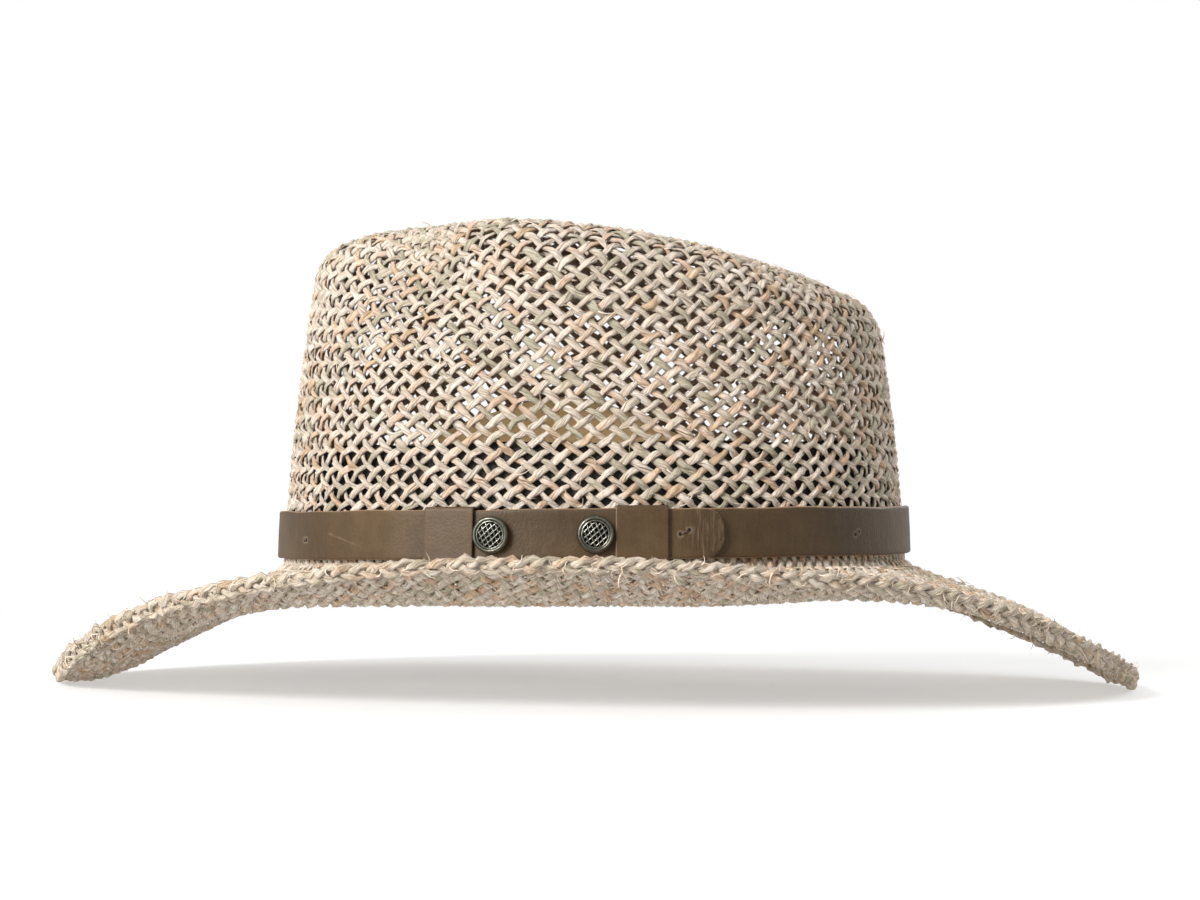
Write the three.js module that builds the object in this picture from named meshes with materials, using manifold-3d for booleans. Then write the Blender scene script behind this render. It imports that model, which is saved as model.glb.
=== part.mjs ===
// Seagrass hat with a leather band, in millimetres, +Z up.
// The front of the hat looks along -Y and the wearer's left side, with the studs, along +X.
// The hat stands on z = 0, on the front and back tips of its brim.
import * as THREE from 'three';
import { mergeVertices } from 'three/addons/utils/BufferGeometryUtils.js';
import Module from 'manifold-3d';

const wasm = await Module();
wasm.setup();

// Straw, crown
const straw_wall = 3.0;
const crown_front = 105.0;
const crown_back = 103.2;
const crown_half_width = 88.0;
const crown_height = 108.8;
const oval_squareness = 2.12;
const front_lean = 8.8;
const back_lean = 7.0;
const side_lean = 9.0;
const lean_curve = 1.6;
const shoulder_roll = 20.0;
const shoulder_drop = 17.0;
const dent_half_width = 50.0;
const dent_depth = 22.0;
const pinch_depth = 12.0;
const pinch_from_centre = 56.0;
const pinch_above_root = 94.0;
const pinch_length = 22.0;
const pinch_rise = 20.0;
const pinch_fade = 30.0;

// Straw, brim
const brim_front = 76.15;
const brim_back = 77.95;
const brim_side = 72.0;
const brim_root_height = 43.3;
const brim_root_tilt = 0.0154;
const brim_root_bend = 4.0;
const brim_edge_lift = 41.5;
const brim_sag = 10.5;
const edge_thickness = 4.2;
const edge_gap = 0.4;
const rest_half_width = 16.0;

// Leather band and its two loops
const band_width = 15.5;
const leather = 1.6;
const band_gap = 0.5;
const layer_gap = 0.3;
const band_above_root = 3.3;
const band_start = -47.0;
const band_end = 37.9;
const tongue_length = 6.0;
const tongue_blunt = 0.25;
const band_ease = 16.0;
const band_press = 0.3;
const band_press_share = 0.1;
const loop_length = 15.6;
const loop_wall = 1.0;
const loop_fold = 0.7;
const loop_gap = 0.3;
const front_loop_at = -44.1;
const back_loop_at = 13.6;

// Studs
const stud_diameter = 11.6;
const stud_height = 2.8;
const stud_rim = 1.3;
const stud_recess = 0.9;
const stud_lattice_pitch = 2.9;
const stud_lattice_bar = 0.6;
const stud_lattice_slant = 33.0;
const stud_gap = 0.3;
const front_stud_at = -31.2;
const back_stud_at = -0.4;

// Sweatband
const sweatband_height = 37.5;
const sweatband_rise = 20.0;
const sweatband_rise_at = -15.0;
const sweatband_rise_reach = 75.0;
const sweatband_wall = 1.0;
const sweatband_gap = 0.35;
const sweatband_below_root = 1.2;

// Facets
const columns = 68;
const band_steps = 104;
const loop_steps = 6;
const stud_sides = 24;

const full_turn = Math.PI * 2;
const half_straw = straw_wall / 2;
const edge_radius = edge_thickness / 2;
const pinch_y = -pinch_from_centre;

// Height of the crown's top line along its length, as shares of crown_front,
// or of crown_back behind the middle, and of crown_height.
const top_line = [
  { reach: -1.0, height: 0.964 },
  { reach: -0.83, height: 0.966 },
  { reach: -0.64, height: 0.983 },
  { reach: -0.5, height: 0.989 },
  { reach: -0.29, height: 1.0 },
  { reach: 0.0, height: 0.978 },
  { reach: 0.27, height: 0.936 },
  { reach: 0.53, height: 0.876 },
  { reach: 0.66, height: 0.845 },
  { reach: 0.79, height: 0.812 },
  { reach: 1.0, height: 0.804 },
];

// The rounding from wall to top, by degrees from the front:
// shares of shoulder_roll inwards and of shoulder_drop downwards.
const shoulder = [
  { angle: 0, roll: 0.7, drop: 0.82 },
  { angle: 45, roll: 0.88, drop: 0.95 },
  { angle: 90, roll: 1.0, drop: 1.0 },
  { angle: 135, roll: 0.88, drop: 0.97 },
  { angle: 180, roll: 0.68, drop: 0.94 },
];

// The teardrop dent in the top, from its point at the front to its round back end:
// reach as in top_line, shares of dent_half_width and dent_depth.
const teardrop = [
  { reach: -0.72, width: 0.25, depth: 0.0 },
  { reach: -0.55, width: 0.35, depth: 0.35 },
  { reach: -0.3, width: 0.6, depth: 0.85 },
  { reach: 0.0, width: 0.85, depth: 1.0 },
  { reach: 0.3, width: 0.95, depth: 0.95 },
  { reach: 0.55, width: 0.78, depth: 0.6 },
  { reach: 0.75, width: 0.45, depth: 0.0 },
];

// The brim by degrees from the front: shares of brim_edge_lift and of brim_sag,
// and where between root and edge the sag is deepest. A sag below zero is a crown.
const brim = [
  { angle: 0, lift: 0.0, sag: 0.66, deepest: 0.7 },
  { angle: 15, lift: 0.12, sag: 0.64, deepest: 0.68 },
  { angle: 30, lift: 0.41, sag: 0.58, deepest: 0.6 },
  { angle: 45, lift: 0.69, sag: 0.62, deepest: 0.5 },
  { angle: 60, lift: 0.87, sag: 0.82, deepest: 0.45 },
  { angle: 75, lift: 0.98, sag: 0.97, deepest: 0.42 },
  { angle: 90, lift: 1.0, sag: 1.0, deepest: 0.42 },
  { angle: 105, lift: 0.94, sag: 0.9, deepest: 0.42 },
  { angle: 120, lift: 0.84, sag: 0.58, deepest: 0.43 },
  { angle: 135, lift: 0.61, sag: 0.25, deepest: 0.46 },
  { angle: 150, lift: 0.34, sag: 0.0, deepest: 0.52 },
  { angle: 165, lift: 0.12, sag: -0.3, deepest: 0.56 },
  { angle: 180, lift: 0.0, sag: -0.52, deepest: 0.6 },
];
const sag_sharpness = 3.4;

// Rings of the straw shell, from the brim's edge up to the middle of the crown's top.
const brim_shares = [1.0, 0.88, 0.75, 0.61, 0.47, 0.33, 0.18, 0.0];
const bend_shares = [0.34, 0.67];
const wall_shares = [0.0, 0.22, 0.44, 0.64, 0.82, 1.0];
const shoulder_degrees = [18, 38, 60, 90];
const top_shares = [0.82, 0.62, 0.42, 0.22];

// Where the band's round tongue has its cross-sections.
const tongue_degrees = [25, 45, 62, 76, 85];

// Outline of a stud from its back to the middle of its face: inwards from its outside as
// shares of stud_rim, and shares of stud_height less, on the floor, of stud_recess.
const stud_outline = [
  { inwards: 0.6, height: 0.0, recess: 0.0 },
  { inwards: 0.13, height: 0.2, recess: 0.0 },
  { inwards: 0.0, height: 0.5, recess: 0.0 },
  { inwards: 0.25, height: 0.88, recess: 0.0 },
  { inwards: 0.55, height: 1.0, recess: 0.0 },
  { inwards: 1.0, height: 0.92, recess: 0.0 },
  { inwards: 1.12, height: 1.0, recess: 1.0 },
];
const stud_floor_rise = 0.2;

const straw_finish = { color: 0xcdbd9c, roughness: 0.85, metalness: 0 };
const edge_finish = { color: 0xc2ae86, roughness: 0.85, metalness: 0 };
const leather_finish = { color: 0x735f4b, roughness: 0.55, metalness: 0 };
const pewter_finish = { color: 0x8c8a84, roughness: 0.35, metalness: 1 };
const sweatband_finish = { color: 0x3a3630, roughness: 0.8, metalness: 0 };

// Reads one column of a table between its rows, smoothly and with no overshoot.
function read(table, key, column, at) {
  const last = table.length - 1;
  if (at <= table[0][key]) return table[0][column];
  if (at >= table[last][key]) return table[last][column];
  const row = table.findIndex((entry) => entry[key] > at) - 1;
  const steps = (index) => table[index + 1][key] - table[index][key];
  const slope = (index) => (table[index + 1][column] - table[index][column]) / steps(index);
  const tangent = (index) => {
    if (index === 0 || index === last) return 0;
    const [before, after] = [slope(index - 1), slope(index)];
    return before * after > 0 ? (2 * before * after) / (before + after) : 0;
  };
  const step = steps(row);
  const t = (at - table[row][key]) / step;
  return table[row][column] * (1 + 2 * t) * (1 - t) ** 2
    + table[row + 1][column] * t * t * (3 - 2 * t)
    + step * tangent(row) * t * (1 - t) ** 2
    - step * tangent(row + 1) * t * t * (1 - t);
}

// The columns stand half a step off the middle, so that a facet lies across each tip.
function column_angle(column) {
  return ((column + 0.5) / columns) * full_turn;
}

// Degrees away from the front, 0 to 180, on either side.
function from_front(angle) {
  const degrees = THREE.MathUtils.euclideanModulo(THREE.MathUtils.radToDeg(angle), 360);
  return Math.min(degrees, 360 - degrees);
}

// A point of an oval in plan, at an angle counted from the front over the +X side.
function oval(angle, front, back, side, squareness) {
  const [along, across] = [Math.cos(angle), Math.sin(angle)];
  const power = 2 / squareness;
  const x = side * Math.sign(across) * Math.abs(across) ** power;
  const y = -(along > 0 ? front : back) * Math.sign(along) * Math.abs(along) ** power;
  return new THREE.Vector2(x, y);
}

// The angle at which the crown's root reaches a distance y along the hat.
function angle_at(y) {
  const share = Math.abs(y) / (y < 0 ? crown_front : crown_back);
  return Math.acos(-Math.sign(y) * share ** (oval_squareness / 2));
}

function crown_reach(y) {
  return y < 0 ? y / crown_front : y / crown_back;
}

// Height of the crown's root, where the brim starts, which rises a little to the back.
function root_height(y) {
  return brim_root_height + brim_root_tilt * y;
}

function top_height(y) {
  return root_height(0) + crown_height * read(top_line, 'reach', 'height', crown_reach(y));
}

// Plan of the crown wall at a share of its height, moved outwards from the outer face.
function wall_plan(angle, share, outwards) {
  const lean = Math.max(share, 0) ** lean_curve;
  return oval(
    angle,
    crown_front - front_lean * lean + outwards,
    crown_back - back_lean * lean + outwards,
    crown_half_width - side_lean * lean + outwards,
    oval_squareness,
  );
}

function wall_top(angle) {
  const drop = shoulder_drop * read(shoulder, 'angle', 'drop', from_front(angle));
  return top_height(wall_plan(angle, 1, -half_straw).y) - half_straw - drop;
}

function dent(x, y) {
  const reach = crown_reach(y);
  const width = dent_half_width * read(teardrop, 'reach', 'width', reach);
  const depth = dent_depth * read(teardrop, 'reach', 'depth', reach);
  return depth * (1 + Math.cos(Math.PI * Math.min(Math.abs(x) / width, 1))) / 2;
}

// Presses in both sides of the front, where fingers pinch the crown.
function pinched(point) {
  const along = (point.y - pinch_y) / pinch_length;
  const up = (point.z - root_height(0) - pinch_above_root) / pinch_rise;
  const fade = Math.min(Math.abs(point.x) / pinch_fade, 1);
  const press = pinch_depth * Math.exp(-along * along - up * up) * fade * fade * (3 - 2 * fade);
  point.x -= Math.sign(point.x) * press;
  return point;
}

// The middle of the crown wall, by its share of the wall's height.
function wall_middle(angle, share) {
  const plan = wall_plan(angle, share, -half_straw);
  const bottom = root_height(wall_plan(angle, 0, -half_straw).y);
  const z = bottom + (wall_top(angle) - bottom) * share;
  return pinched(new THREE.Vector3(plan.x, plan.y, z));
}

// The rounding over the wall's top, 0 degrees at the wall and 90 on the ridge.
function shoulder_middle(angle, degrees) {
  const edge = wall_plan(angle, 1, -half_straw);
  const turn = THREE.MathUtils.degToRad(degrees);
  const roll = shoulder_roll * read(shoulder, 'angle', 'roll', from_front(angle));
  const drop = shoulder_drop * read(shoulder, 'angle', 'drop', from_front(angle));
  const inwards = roll * (1 - Math.cos(turn));
  const plan = edge.clone().multiplyScalar(1 - inwards / edge.length());
  const z = top_height(plan.y) - half_straw - drop * (1 - Math.sin(turn));
  return pinched(new THREE.Vector3(plan.x, plan.y, z));
}

// The top with its dent, 1 on the ridge and 0 in the middle.
function top_middle(angle, share) {
  const ridge = shoulder_middle(angle, 90);
  const [x, y] = [ridge.x * share, ridge.y * share];
  return new THREE.Vector3(x, y, top_height(y) - half_straw - dent(x, y));
}

// The middle line of the brim's braided edge.
function edge_middle(angle) {
  const rest = Math.asin(rest_half_width / (crown_half_width + brim_side));
  const rest_degrees = THREE.MathUtils.radToDeg(rest);
  const degrees = from_front(angle);
  const resting = Math.min(degrees, 180 - degrees) < rest_degrees;
  const lift = resting ? 0 : read(brim, 'angle', 'lift', degrees);
  const plan = oval(
    angle,
    crown_front + brim_front - edge_radius,
    crown_back + brim_back - edge_radius,
    crown_half_width + brim_side - edge_radius,
    2,
  );
  return new THREE.Vector3(plan.x, plan.y, edge_radius + brim_edge_lift * lift);
}

// The middle of the brim, 0 at the crown's root and 1 at the braided edge.
function brim_middle(angle, share) {
  const plan = wall_plan(angle, 0, -half_straw);
  const root = new THREE.Vector3(plan.x, plan.y, root_height(plan.y) - band_above_root);
  const degrees = from_front(angle);
  const deepest = read(brim, 'angle', 'deepest', degrees);
  const sag = brim_sag * read(brim, 'angle', 'sag', degrees);
  const rise = (share / deepest) ** (sag_sharpness * deepest);
  const fall = ((1 - share) / (1 - deepest)) ** (sag_sharpness * (1 - deepest));
  const point = root.lerp(edge_middle(angle), share);
  point.z -= sag * rise * fall;
  return point;
}

// One line of the straw shell, from the brim's edge to beside the middle of the top.
function straw_line(angle) {
  const span = brim_middle(angle, 0).distanceTo(edge_middle(angle));
  const near = brim_root_bend / span;
  const far = 1 - (edge_radius + edge_gap) / span;
  const line = brim_shares.map((share) => brim_middle(angle, near + (far - near) * share));
  const foot = (brim_root_bend - band_above_root) / (wall_top(angle) - root_height(0));
  const corner = brim_middle(angle, 0);
  const bend = new THREE.QuadraticBezierCurve3(line.at(-1), corner, wall_middle(angle, foot));
  line.push(...bend_shares.map((share) => bend.getPoint(share)));
  line.push(...wall_shares.map((share) => wall_middle(angle, foot + (1 - foot) * share)));
  line.push(...shoulder_degrees.map((degrees) => shoulder_middle(angle, degrees)));
  line.push(...top_shares.map((share) => top_middle(angle, share)));
  return line;
}

// A closed mesh from its points and its four-cornered or three-cornered faces.
function solid(points, faces) {
  const geometry = new THREE.BufferGeometry();
  geometry.setAttribute('position', new THREE.Float32BufferAttribute(points.flatMap((p) => p.toArray()), 3));
  geometry.setIndex(faces.flatMap(([a, b, c, d]) => (d === undefined ? [a, b, c] : [a, b, c, a, c, d])));
  const flat = geometry.toNonIndexed();
  flat.computeVertexNormals();
  return flat;
}

// The straw as one shell: its upper face, its under face, the rim between and two middles.
function straw_shell() {
  const lines = [];
  for (let column = 0; column < columns; column += 1) {
    lines.push(straw_line(column_angle(column)));
  }
  const rings = lines[0].length;
  const middle = top_middle(0, 0);
  const at = (column, ring) => lines[(column + columns) % columns][ring];
  const normal = (column, ring) => {
    const around = at(column + 1, ring).clone().sub(at(column - 1, ring));
    const upper = ring + 1 < rings ? at(column, ring + 1) : middle;
    const lower = at(column, Math.max(ring - 1, 0));
    return around.cross(upper.clone().sub(lower)).normalize();
  };
  const points = [];
  for (const side of [half_straw, -half_straw]) {
    for (let ring = 0; ring < rings; ring += 1) {
      for (let column = 0; column < columns; column += 1) {
        points.push(at(column, ring).clone().addScaledVector(normal(column, ring), side));
      }
    }
    points.push(middle.clone().add(new THREE.Vector3(0, 0, side)));
  }
  const under = rings * columns + 1;
  const upper = (column, ring) => ring * columns + (column % columns);
  const faces = [];
  for (let column = 0; column < columns; column += 1) {
    const next = column + 1;
    for (let ring = 0; ring + 1 < rings; ring += 1) {
      const corners = [
        upper(column, ring), upper(next, ring), upper(next, ring + 1), upper(column, ring + 1),
      ];
      faces.push(corners, corners.map((corner) => corner + under).reverse());
    }
    faces.push([upper(column, rings - 1), upper(next, rings - 1), under - 1]);
    faces.push([2 * under - 1, upper(next, rings - 1) + under, upper(column, rings - 1) + under]);
    faces.push([upper(column, 0) + under, upper(next, 0) + under, upper(next, 0), upper(column, 0)]);
  }
  return solid(points, faces);
}

// A ring whose cross-section is given for each angle, listed the same way round each time.
function ring_solid(section_at) {
  const points = [];
  for (let column = 0; column < columns; column += 1) {
    points.push(...section_at(column_angle(column)));
  }
  const corners = points.length / columns;
  const faces = [];
  for (let column = 0; column < columns; column += 1) {
    const [here, next] = [column * corners, ((column + 1) % columns) * corners];
    for (let corner = 0; corner < corners; corner += 1) {
      const after = (corner + 1) % corners;
      faces.push([here + corner, next + corner, next + after, here + after]);
    }
  }
  return solid(points, faces);
}

// A strip through a list of cross-sections, closed at both ends.
function strip_solid(sections) {
  const corners = sections[0].length;
  const points = sections.flat();
  const faces = [];
  for (let step = 0; step + 1 < sections.length; step += 1) {
    for (let corner = 0; corner < corners; corner += 1) {
      const after = (corner + 1) % corners;
      const [here, next] = [step * corners, (step + 1) * corners];
      faces.push([here + corner, next + corner, next + after, here + after]);
    }
  }
  const last = points.length - corners;
  for (let corner = 1; corner + 1 < corners; corner += 1) {
    faces.push([0, corner, corner + 1], [last, last + corner + 1, last + corner]);
  }
  return solid(points, faces);
}

// Direction along the crown wall's face at an angle, as long as one radian covers there.
function wall_along(angle) {
  const step = 0.01;
  const along = wall_plan(angle + step, 0, 0).sub(wall_plan(angle - step, 0, 0));
  return along.divideScalar(2 * step);
}

// Outward direction, level, of the crown wall's face at an angle.
function wall_normal(angle) {
  const along = wall_along(angle);
  return new THREE.Vector3(along.y, -along.x, 0).normalize();
}

// The turn that covers a distance along the crown wall's face at an angle.
function turn_over(distance, angle) {
  return distance / wall_along(angle).length();
}

// A point beside the crown wall, above its root and off its outer face.
function beside_wall(angle, above_root, off_face) {
  const root = wall_plan(angle, 0, 0);
  const height = root_height(root.y) + above_root;
  const share = above_root / (wall_top(angle) - root_height(root.y));
  const plan = wall_plan(angle, share, 0);
  return new THREE.Vector3(plan.x, plan.y, height).addScaledVector(wall_normal(angle), off_face);
}

// The braided edge: eight flats round its middle line, one of them level underneath.
function edge_section(angle) {
  const middle = edge_middle(angle);
  const step = 0.01;
  const along = edge_middle(angle + step).sub(edge_middle(angle - step));
  const outwards = new THREE.Vector3(along.y, -along.x, 0).normalize();
  const corner_radius = edge_radius / Math.cos(Math.PI / 8);
  const section = [];
  for (let corner = 0; corner < 8; corner += 1) {
    const turn = ((corner + 0.5) / 8) * full_turn;
    const point = middle.clone().addScaledVector(outwards, corner_radius * Math.cos(turn));
    point.z += corner_radius * Math.sin(turn);
    section.push(point);
  }
  return section;
}

// How far the band's inner face stands off the crown: close, and out past the loops' backs
// where the strip lies double. The last stretch passes over the first.
function band_off_face(turned, start, end) {
  const ease = turn_over(band_ease, start);
  const loops_back = loop_gap * 2 + loop_wall;
  const blend = (at, from, to) => THREE.MathUtils.smoothstep(at, from, to);
  const leaving = 1 - blend(turned, end - full_turn, end - full_turn + ease);
  const arriving = blend(turned, start + full_turn - 2 * ease, start + full_turn - ease);
  const outer_layer = loops_back + leather + layer_gap;
  return band_gap + leaving * (loops_back - band_gap) + arriving * (outer_layer - band_gap);
}

// A flat strip's cross-section with the corners of its outer face pressed down.
function strip_section(angle, off_face, low, high) {
  const pressed = off_face + leather - band_press;
  const press_in = (high - low) * band_press_share;
  return [
    beside_wall(angle, low, off_face),
    beside_wall(angle, low, pressed),
    beside_wall(angle, low + press_in, off_face + leather),
    beside_wall(angle, high - press_in, off_face + leather),
    beside_wall(angle, high, pressed),
    beside_wall(angle, high, off_face),
  ];
}

function hat_band() {
  const start = angle_at(band_start);
  const end = angle_at(band_end) + full_turn;
  const tongue = turn_over(tongue_length, end);
  const sections = [];
  const add = (angle, half) => {
    const centre = band_width / 2;
    const off_face = band_off_face(angle, start, end);
    sections.push(strip_section(angle, off_face, centre - half, centre + half));
  };
  for (let step = 0; step <= band_steps; step += 1) {
    add(start + (end - tongue - start) * (step / band_steps), band_width / 2);
  }
  for (const degrees of tongue_degrees) {
    const turn = THREE.MathUtils.degToRad(degrees);
    const half = (band_width / 2) * (tongue_blunt + (1 - tongue_blunt) * Math.cos(turn));
    add(end - tongue + tongue * Math.sin(turn), half);
  }
  return strip_solid(sections);
}

// One cross-section of a loop's outer or inner face, its two outer corners cut off.
function loop_corners(angle, low, high, near, far, cut_up, cut_out) {
  return [
    beside_wall(angle, low, near),
    beside_wall(angle, low, far - cut_out),
    beside_wall(angle, low + cut_up, far),
    beside_wall(angle, high - cut_up, far),
    beside_wall(angle, high, far - cut_out),
    beside_wall(angle, high, near),
  ];
}

// A leather loop round both layers of the band, as a short sleeve.
function band_loop(at) {
  const centre = angle_at(at);
  const half = turn_over(loop_length / 2, centre);
  const [low, high] = [-loop_gap, band_width + loop_gap];
  const near = loop_gap + loop_wall;
  const far = near + loop_gap + 2 * leather + layer_gap + loop_gap;
  const outer = [];
  const inner = [];
  for (let step = 0; step <= loop_steps; step += 1) {
    const angle = centre - half + 2 * half * (step / loop_steps);
    outer.push(loop_corners(
      angle, low - loop_fold, high + loop_fold, near - loop_wall, far + loop_wall, loop_fold, loop_wall,
    ));
    inner.push(loop_corners(angle, low, high, near, far, loop_fold / 2, loop_fold / 2));
  }
  const corners = outer[0].length;
  const points = [...outer.flat(), ...inner.flat()];
  const hollow = outer.flat().length;
  const faces = [];
  for (let corner = 0; corner < corners; corner += 1) {
    const after = (corner + 1) % corners;
    for (let step = 0; step < loop_steps; step += 1) {
      const [here, next] = [step * corners, (step + 1) * corners];
      const quad = [here + corner, next + corner, next + after, here + after];
      faces.push(quad, quad.map((index) => index + hollow).reverse());
    }
    const last = loop_steps * corners;
    faces.push([corner, after, after + hollow, corner + hollow]);
    faces.push([last + after, last + corner, last + corner + hollow, last + after + hollow]);
  }
  return solid(points, faces);
}

// The sweatband, a plain strip sewn in a ring inside the crown. Its free edge stands higher
// on the wearer's right.
function sweatband_section(angle) {
  const face = -straw_wall - sweatband_gap;
  const low = -sweatband_below_root;
  const root = wall_plan(angle, 0, 0);
  const away = Math.min(Math.abs(root.y - sweatband_rise_at) / sweatband_rise_reach, 1);
  const rise = root.x < 0 ? (sweatband_rise * (1 + Math.cos(Math.PI * away))) / 2 : 0;
  const levels = [0, 0.5, 1].map((share) => low + (sweatband_height + rise) * share);
  const outside = levels.map((level) => beside_wall(angle, level, face));
  const inside = levels.map((level) => beside_wall(angle, level, face - sweatband_wall));
  return [...outside, ...inside.reverse()];
}

// A closed geometry as a solid that can be joined or cut.
function to_solid(geometry) {
  geometry.deleteAttribute('normal');
  geometry.deleteAttribute('uv');
  const merged = mergeVertices(geometry, 1e-4);
  return new wasm.Manifold(new wasm.Mesh({
    numProp: 3,
    vertProperties: new Float32Array(merged.attributes.position.array),
    triVerts: new Uint32Array(merged.index.array),
  }));
}

function from_solid(manifold) {
  const mesh = manifold.getMesh();
  const geometry = new THREE.BufferGeometry();
  geometry.setAttribute('position', new THREE.BufferAttribute(mesh.vertProperties, 3));
  geometry.setIndex(new THREE.BufferAttribute(mesh.triVerts, 1));
  const flat = geometry.toNonIndexed();
  flat.computeVertexNormals();
  return flat;
}

// A round stud with a raised rim and a slanted lattice in its recess, standing along +Z.
function stud() {
  const radius = stud_diameter / 2;
  const inner = radius - stud_rim;
  const floor = stud_height - stud_recess;
  const rise = stud_recess * stud_floor_rise;
  const outline = stud_outline.map((row) => new THREE.Vector2(
    radius - stud_rim * row.inwards,
    stud_height * row.height - stud_recess * row.recess,
  ));
  const profile = [new THREE.Vector2(0, 0), ...outline, new THREE.Vector2(0, floor + rise)];
  const body = to_solid(new THREE.LatheGeometry(profile, stud_sides).rotateX(Math.PI / 2));
  const disc = new THREE.CylinderGeometry(inner, inner, stud_recess, stud_sides);
  const field = to_solid(disc.rotateX(Math.PI / 2).translate(0, 0, floor + rise));
  let lattice = null;
  const count = Math.floor(inner / stud_lattice_pitch);
  for (const side of [-1, 1]) {
    const slant = THREE.MathUtils.degToRad(side * stud_lattice_slant);
    for (let row = -count; row <= count; row += 1) {
      const bar = new THREE.BoxGeometry(2 * radius, stud_lattice_bar, stud_recess);
      bar.translate(0, row * stud_lattice_pitch, 0).rotateZ(slant).translate(0, 0, floor);
      lattice = lattice ? lattice.add(to_solid(bar)) : to_solid(bar);
    }
  }
  return from_solid(body.add(lattice.intersect(field)));
}

function named(name, geometry, finish) {
  const mesh = new THREE.Mesh(geometry, new THREE.MeshStandardMaterial(finish));
  mesh.name = name;
  return mesh;
}

// Seats a stud on the outer layer of the band.
function seated_stud(name, at) {
  const mesh = named(name, stud(), pewter_finish);
  const angle = angle_at(at);
  const off_face = band_off_face(angle + full_turn, angle_at(band_start), angle_at(band_end) + full_turn);
  mesh.position.copy(beside_wall(angle, band_width / 2, off_face + leather + stud_gap));
  mesh.quaternion.setFromUnitVectors(new THREE.Vector3(0, 0, 1), wall_normal(angle));
  return mesh;
}

const straw = new THREE.Group();
straw.add(named('straw_body', straw_shell(), straw_finish));
straw.add(named('brim_edge', ring_solid(edge_section), edge_finish));

const trim = new THREE.Group();
trim.add(named('hat_band', hat_band(), leather_finish));
trim.add(named('band_loop_front', band_loop(front_loop_at), leather_finish));
trim.add(named('band_loop_back', band_loop(back_loop_at), leather_finish));
trim.add(seated_stud('stud_front', front_stud_at));
trim.add(seated_stud('stud_back', back_stud_at));
trim.add(named('sweatband', ring_solid(sweatband_section), sweatband_finish));

const hat = new THREE.Group();
hat.add(straw, trim);

export default hat;
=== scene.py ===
"""Seagrass hat with a studded leather band: the looks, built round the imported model.

Lengths in this script are in millimetres until a mesh is made, and the frame is the model's:
the front of the hat along -Y, the wearer's left side with the studs along +X, up along +Z.
"""
import math

import bmesh
import bpy
import numpy as np
from mathutils import Matrix, Vector


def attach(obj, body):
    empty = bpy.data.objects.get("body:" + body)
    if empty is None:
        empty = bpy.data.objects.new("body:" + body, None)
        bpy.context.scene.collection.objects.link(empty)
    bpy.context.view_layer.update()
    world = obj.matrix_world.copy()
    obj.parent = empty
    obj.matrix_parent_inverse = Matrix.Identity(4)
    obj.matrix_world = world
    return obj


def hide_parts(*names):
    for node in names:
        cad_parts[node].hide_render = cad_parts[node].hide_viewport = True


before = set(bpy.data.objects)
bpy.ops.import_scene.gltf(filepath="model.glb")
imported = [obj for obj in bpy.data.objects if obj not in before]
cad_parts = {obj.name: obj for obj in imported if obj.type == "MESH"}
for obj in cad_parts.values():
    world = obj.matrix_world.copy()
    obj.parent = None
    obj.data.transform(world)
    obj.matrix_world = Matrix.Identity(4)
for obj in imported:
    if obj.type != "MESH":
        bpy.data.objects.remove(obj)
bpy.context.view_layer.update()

MM = 0.001

# Crown and brim, as in the model
STRAW_WALL = 3.0
CROWN_FRONT = 105.0
CROWN_BACK = 103.2
CROWN_HALF_WIDTH = 88.0
CROWN_HEIGHT = 108.8
OVAL_SQUARENESS = 2.12
FRONT_LEAN = 8.8
BACK_LEAN = 7.0
SIDE_LEAN = 9.0
LEAN_CURVE = 1.6
SHOULDER_ROLL = 20.0
SHOULDER_DROP = 17.0
DENT_HALF_WIDTH = 50.0
DENT_DEPTH = 22.0
PINCH_DEPTH = 12.0
PINCH_FROM_CENTRE = 56.0
PINCH_ABOVE_ROOT = 94.0
PINCH_LENGTH = 22.0
PINCH_RISE = 20.0
PINCH_FADE = 30.0
BRIM_FRONT = 76.15
BRIM_BACK = 77.95
BRIM_SIDE = 72.0
BRIM_ROOT_HEIGHT = 43.3
BRIM_ROOT_TILT = 0.0154
BRIM_ROOT_BEND = 4.0
BRIM_EDGE_LIFT = 41.5
BRIM_SAG = 10.5
SAG_SHARPNESS = 3.4
EDGE_THICKNESS = 4.2
REST_HALF_WIDTH = 16.0

# Leather band, loops, studs and sweatband, as in the model
BAND_WIDTH = 15.5
LEATHER = 1.6
BAND_GAP = 0.5
LAYER_GAP = 0.3
BAND_ABOVE_ROOT = 3.3
BAND_START = -47.0
BAND_END = 37.9
TONGUE_LENGTH = 6.0
TONGUE_BLUNT = 0.25
BAND_EASE = 16.0
LOOP_LENGTH = 15.6
LOOP_WALL = 1.0
LOOP_FOLD = 0.7
LOOP_GAP = 0.3
FRONT_LOOP_AT = -44.1
BACK_LOOP_AT = 13.6
STUD_GAP = 0.3
FRONT_STUD_AT = -31.2
BACK_STUD_AT = -0.4
SWEATBAND_HEIGHT = 37.5
SWEATBAND_RISE = 20.0
SWEATBAND_RISE_AT = -15.0
SWEATBAND_RISE_REACH = 75.0
SWEATBAND_WALL = 1.0
SWEATBAND_GAP = 0.35
SWEATBAND_BELOW_ROOT = 1.2

# The crown's plaiting: a whole number of meshes on each side of the square on top
MESHES_ON_A_SIDE = 21
CROWN_ROWS = 41
CROWN_STRAND = 2.4
CROWN_STRAND_FLATNESS = 0.56
CROWN_WEAVE_RISE = 0.66
STEPS_TO_A_CROSSING = 3
CROWN_FOOT = 4.5
CROWN_SLIP = 0.17
SETTLING_ROUNDS = 260

# The brim's plaiting, twice as many strands, packed close
BRIM_STRANDS = 168
BRIM_ROWS = 29
BRIM_STRAND_FLATNESS = 0.46
BRIM_WEAVE_RISE = 1.0
BRIM_FOOT = 7.5
BRIM_SLIP = 0.1
WIDEST_BRIM_STRAND = 4.4

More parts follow.
